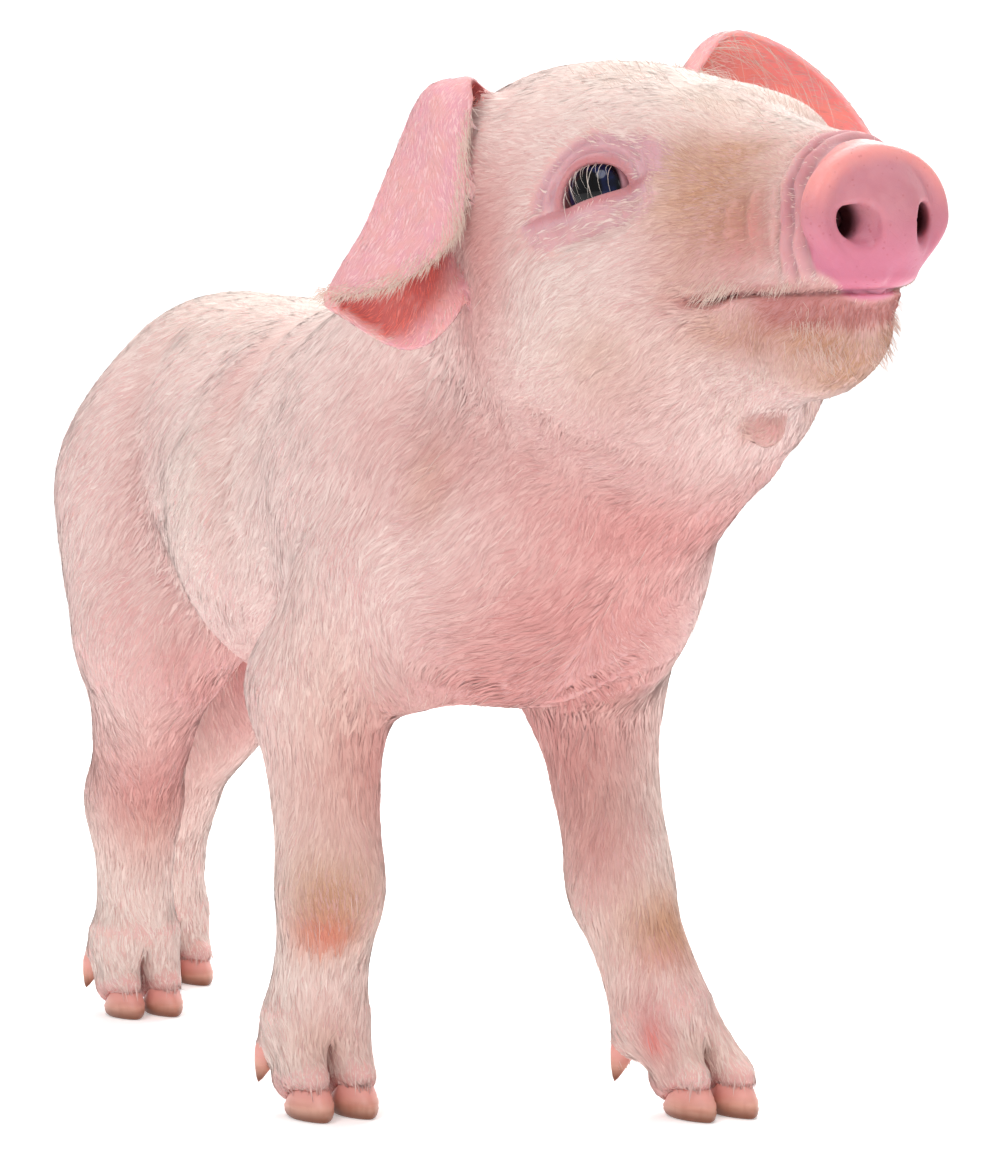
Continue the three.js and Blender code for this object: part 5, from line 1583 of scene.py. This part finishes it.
rng = np.random.default_rng(77)
for sign, word in ((-1, "right"), (1, "left")):
    flip = np.array([1 if sign < 0 else -1, 1, 1])
    # upper lashes, in two ranks along the edge of the lid, then the short lower ones
    ranks = []
    for count, reach, out_by, drop in ((12, 6.4, 1.25, -0.60), (6, 4.2, 0.9, -0.30)):
        a = np.linspace(-7.0, 4.6, count) + rng.normal(0, 0.35, count)
        arch = OPENING_UP * np.sqrt(np.maximum(1 - (a / OPENING_LONG) ** 2, 0))
        b = arch - OPENING_DROP + rng.normal(0, 0.15, count)
        flat = EYE_LONG * (a + 0.1)[:, None] + EYE_HIGH * b[:, None]
        out = np.sqrt(np.maximum((EYE_RADIUS + out_by) ** 2 - (flat**2).sum(1), 4))
        spot = EYE_AT + flat + EYE_GAZE * out[:, None]
        lean = EYE_GAZE * 0.75 - EYE_LONG * (0.35 + 0.02 * a + rng.normal(0, 0.20, count))[:, None]
        lean = lean + EYE_HIGH * (drop + 0.1 * rng.normal(size=count))[:, None]
        curl = -EYE_HIGH * 0.55 - EYE_GAZE * 0.45 + EYE_LONG * (0.30 + rng.normal(0, 0.22, count))[:, None]
        ranks.append((spot, unit(lean), curl, reach * rng.uniform(0.7, 1.15, count)))
    a = np.linspace(-6.0, 5.0, 16) + rng.normal(0, 0.3, 16)
    flat = EYE_LONG * (a + 0.1)[:, None] + EYE_HIGH * (-OPENING_DROP - 0.8)
    out = np.sqrt((EYE_RADIUS + 1.2) ** 2 - (flat**2).sum(1))
    spot = EYE_AT + flat + EYE_GAZE * out[:, None]
    lean = EYE_GAZE * 0.7 - EYE_HIGH * 0.6 - EYE_LONG * 0.25 + rng.normal(0, 0.1, (16, 3))
    ranks.append((spot, unit(lean), -EYE_HIGH * 0.3 + np.zeros((16, 3)), rng.uniform(1.8, 3.0, 16)))
    spot, lean, curl, reach = (np.concatenate([rank[n] for rank in ranks]) for n in range(4))
    root = from_head(spot * flip)
    rods(f"lashes_{word}", root, (lean * flip) @ HEAD_TURN.T, (curl * flip) @ HEAD_TURN.T, reach, 0.15,
         {"cream": 0.9}, 5)

    # fringe round the ear, thickest on the margin that faces forward
    ear = EARS[word]
    count = 2400 if sign < 0 else 1000
    front = rng.random(count) < 0.85
    along = rng.uniform(0.06, 1.0, count) ** 0.9
    row = np.clip((along * EAR_ALONG).astype(int), 1, EAR_ALONG - 1)
    column = np.where(front, EAR_ACROSS, 0)
    inner = np.where(front, EAR_ACROSS - 2, 2)
    edge = ear.grid[row, column]
    edge = edge + (ear.grid[row + 1, column] - edge) * rng.random((count, 1))
    outward = unit(ear.grid[row, column] - ear.grid[row, inner])
    forward = unit(ear.grid[row + 1, column] - ear.grid[row - 1, column])
    way = outward * 0.55 + forward * 0.85 + rng.normal(0, 0.20, (count, 3))
    edge = edge - outward * rng.uniform(0.0, 2.4, (count, 1)) + rng.normal(0, 0.55, (count, 3))
    reach = np.where(front, rng.uniform(2.2, 4.4, count), rng.uniform(1.2, 2.2, count))
    rods(f"ear_fringe_{word}", edge, way, forward * 0.3, reach, 0.15, {"cream": 0.8, "tan": 0.28}, 6)

    # hairs inside the ear, from the hollow and the lower margin towards the tip
    count = 420 if sign > 0 else 110
    row = np.clip((rng.random(count) ** 1.4 * 0.62 * EAR_ALONG).astype(int), 1, EAR_ALONG - 2)
    low = rng.random(count) < 0.75
    lower, upper = rng.integers(EAR_ACROSS * 7 // 10, EAR_ACROSS + 1, count), rng.integers(0, 6, count)
    column = np.where(low, lower, upper)
    spot = ear.grid[row, column]
    chord = unit((ear.grid[row, 0] + ear.grid[row, -1]) / 2 - ear.grid[row, EAR_ACROSS // 2])
    forward = unit(ear.grid[row + 1, column] - ear.grid[row - 1, column])
    inward = unit(ear.grid[row, EAR_ACROSS // 2] - spot)
    spot = spot + chord * 0.7
    way = chord * 0.55 + forward * 0.6 + inward * 0.5 + rng.normal(0, 0.25, (count, 3))
    reach = rng.uniform(6, 14, count) if sign > 0 else rng.uniform(3, 6, count)
    rods(f"ear_hairs_{word}", spot, way, -chord * 0.15 + inward * 0.1, reach, 0.16, {"cream": 1.0}, 7)

# whiskers on the lips and chin, and longer hairs on the brow and crown
spots = []
for tries, middle, half, wide_way, reach in (
    (120, [-19, 31, 4.4], [2.5, 8, 1.2], [-0.45, -0.45, -0.8], (2.4, 4.8)),
    (60, [-15, 46, 4.0], [1.5, 6, 1.0], [-0.5, -0.1, -0.9], (1.6, 3.0)),
    (70, [-12, 50, -4.0], [6, 5, 2.5], [-0.35, 0.5, -0.6], (2.0, 3.6)),
    (80, [-8, 50, -10], [7, 4, 3.5], [-0.15, 0.55, -0.75], (2.5, 4.6)),
    (50, [-14, 30, -14], [5, 12, 4], [-0.3, -0.2, -0.9], (2.5, 4.5)),
    (16, [-12, 22, -19], [6, 8, 3], [-0.2, -0.1, -1.0], (5.0, 9.0)),
    (80, [-10, 22, 43], [7, 12, 3], [-0.2, -0.55, 0.75], (3.0, 5.5)),
    (90, [-10, -10, 50], [9, 16, 2], [-0.1, -0.7, 0.6], (3.5, 6.5)),
    (26, [-24, 2, 37], [6, 5, 2], [-0.5, -0.3, 0.6], (3.5, 6.0)),
):
    for flip in (1, -1):
        spot = np.array(middle) + rng.normal(0, 0.5, (tries, 3)) * np.array(half)
        way = unit(wide_way) + rng.normal(0, 0.16, (tries, 3))
        spots.append((spot * [flip, 1, 1], way * [flip, 1, 1], rng.uniform(*reach, tries)))
spot, way, reach = (np.concatenate([s[n] for s in spots]) for n in range(3))
root, normal = onto_hide(from_head(spot), 12)
way = unit(way) @ HEAD_TURN.T
way = way - normal * np.minimum((way * normal).sum(1, keepdims=True) - 0.35, 0)
rods("whiskers", root, way, -normal * 0.12 + [0, 0, -0.12], reach, 0.12, {"cream": 0.6, "tan": 0.25}, 8)

# looser hairs that break the outline of body and legs
weight = tri_area * np.clip(growth[triangles].mean(1), 0, 1) * (to_head(tri_middle)[:, 1] < -20)
corners, share = sow(weight, 1300, rng)
root = (p[corners] * share[:, :, None]).sum(1)
normal = unit((vertex_normal[corners] * share[:, :, None]).sum(1))
way = unit((lie[corners] * share[:, :, None]).sum(1))
way = unit(way - normal * (way * normal).sum(1, keepdims=True))
way = way + normal * rng.uniform(0.1, 0.4, (len(root), 1))
long = (length[corners] * share).sum(1) * rng.uniform(0.8, 1.3, len(root))
rods("loose_hairs", root, way, -normal * 0.1, long, 0.13, {"cream": 0.4}, 9)


# ---- Floor and light ---------------------------------------------------------------------------
# A pale sweep of studio paper under and behind the piglet, and soft light from above and the front.
PAPER_FRONT, PAPER_BACK, PAPER_CURVE, PAPER_HALF, PAPER_TALL = -5.0, 1.5, 0.8, 3.2, 2.6
profile = [(PAPER_FRONT, 0.0), (PAPER_BACK, 0.0)]
for k in range(1, 13):
    a = math.pi / 2 * k / 12
    profile.append((PAPER_BACK + PAPER_CURVE * math.sin(a), PAPER_CURVE * (1 - math.cos(a))))
profile.append((PAPER_BACK + PAPER_CURVE, PAPER_TALL))
paper_points = [(x, y, z) for y, z in profile for x in (-PAPER_HALF, PAPER_HALF)]
paper_points = (np.array(paper_points) @ turn_about("z", math.radians(-26.5)).T).tolist()
paper_faces = [(2 * k, 2 * k + 1, 2 * k + 3, 2 * k + 2) for k in range(len(profile) - 1)]
paper_mesh = bpy.data.meshes.new("paper_sweep")
paper_mesh.from_pydata(paper_points, [], paper_faces)
paper_mesh.shade_smooth()
paper_finish, w, shader = finish_for("studio paper", {
    "Roughness": 0.9, "IOR": 1.2, "Emission Color": (1, 1, 1, 1), "Emission Strength": 0.33,
})
grain = w.noise(30.0, 3.0, w.node("ShaderNodeTexCoord", out=3))
feed(w.tree, shader, Base_Color=grain.blend(paint(247, 247, 248), paint(250, 250, 250)))
paper_mesh.materials.append(paper_finish)
paper = bpy.data.objects.new("paper_sweep", paper_mesh)
bpy.context.scene.collection.objects.link(paper)
paper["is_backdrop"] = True


def lamp(name, at, towards, power, size):
    data = bpy.data.lights.new(name, "AREA")
    data.shape, data.energy, data.size = "DISK", power, size
    made = bpy.data.objects.new(name, data)
    made.location = at
    made.rotation_euler = (Vector(towards) - Vector(at)).to_track_quat("-Z", "Y").to_euler()
    bpy.context.scene.collection.objects.link(made)


lamp("window", (-1.25, -0.9, 1.7), (0, -0.05, 0.13), 13.4, 1.0)
lamp("front", (0.5, -1.9, 0.9), (0, -0.05, 0.14), 4.5, 1.0)
lamp("top", (0.2, 0.3, 1.8), (0, 0, 0.1), 16, 1.2)
lamp("back", (0.9, 1.1, 0.9), (0, -0.1, 0.18), 12.5, 0.8)
sky = bpy.data.worlds.new("room")
sky.use_nodes = True
sky.node_tree.nodes["Background"].inputs[0].default_value = (1.0, 0.985, 0.98, 1.0)
sky.node_tree.nodes["Background"].inputs[1].default_value = 0.46
bpy.context.scene.world = sky
bpy.context.scene.view_settings.view_transform = "Standard"

# ---- Camera ------------------------------------------------------------------------------------
# The viewer stands low before the piglet's right shoulder and looks with a long lens.
LENS_IN_PIXELS, FRAME_TALL, FILM_TALL = 3500, 1159, 36
camera_data = bpy.data.cameras.new("camera")
camera_data.sensor_fit = "VERTICAL"
camera_data.sensor_height = FILM_TALL
camera_data.lens = LENS_IN_PIXELS / FRAME_TALL * FILM_TALL
camera = bpy.data.objects.new("camera", camera_data)
camera.location = to_frame([-363.7, -718.2, 141.0])
azimuth, pitch = math.radians(-26.5), math.radians(1.203)
level = math.cos(pitch)
looking = Vector((-math.sin(azimuth) * level, math.cos(azimuth) * level, -math.sin(pitch)))
camera.rotation_euler = looking.to_track_quat("-Z", "Y").to_euler()
bpy.context.scene.collection.objects.link(camera)
bpy.context.scene.camera = camera

low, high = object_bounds()
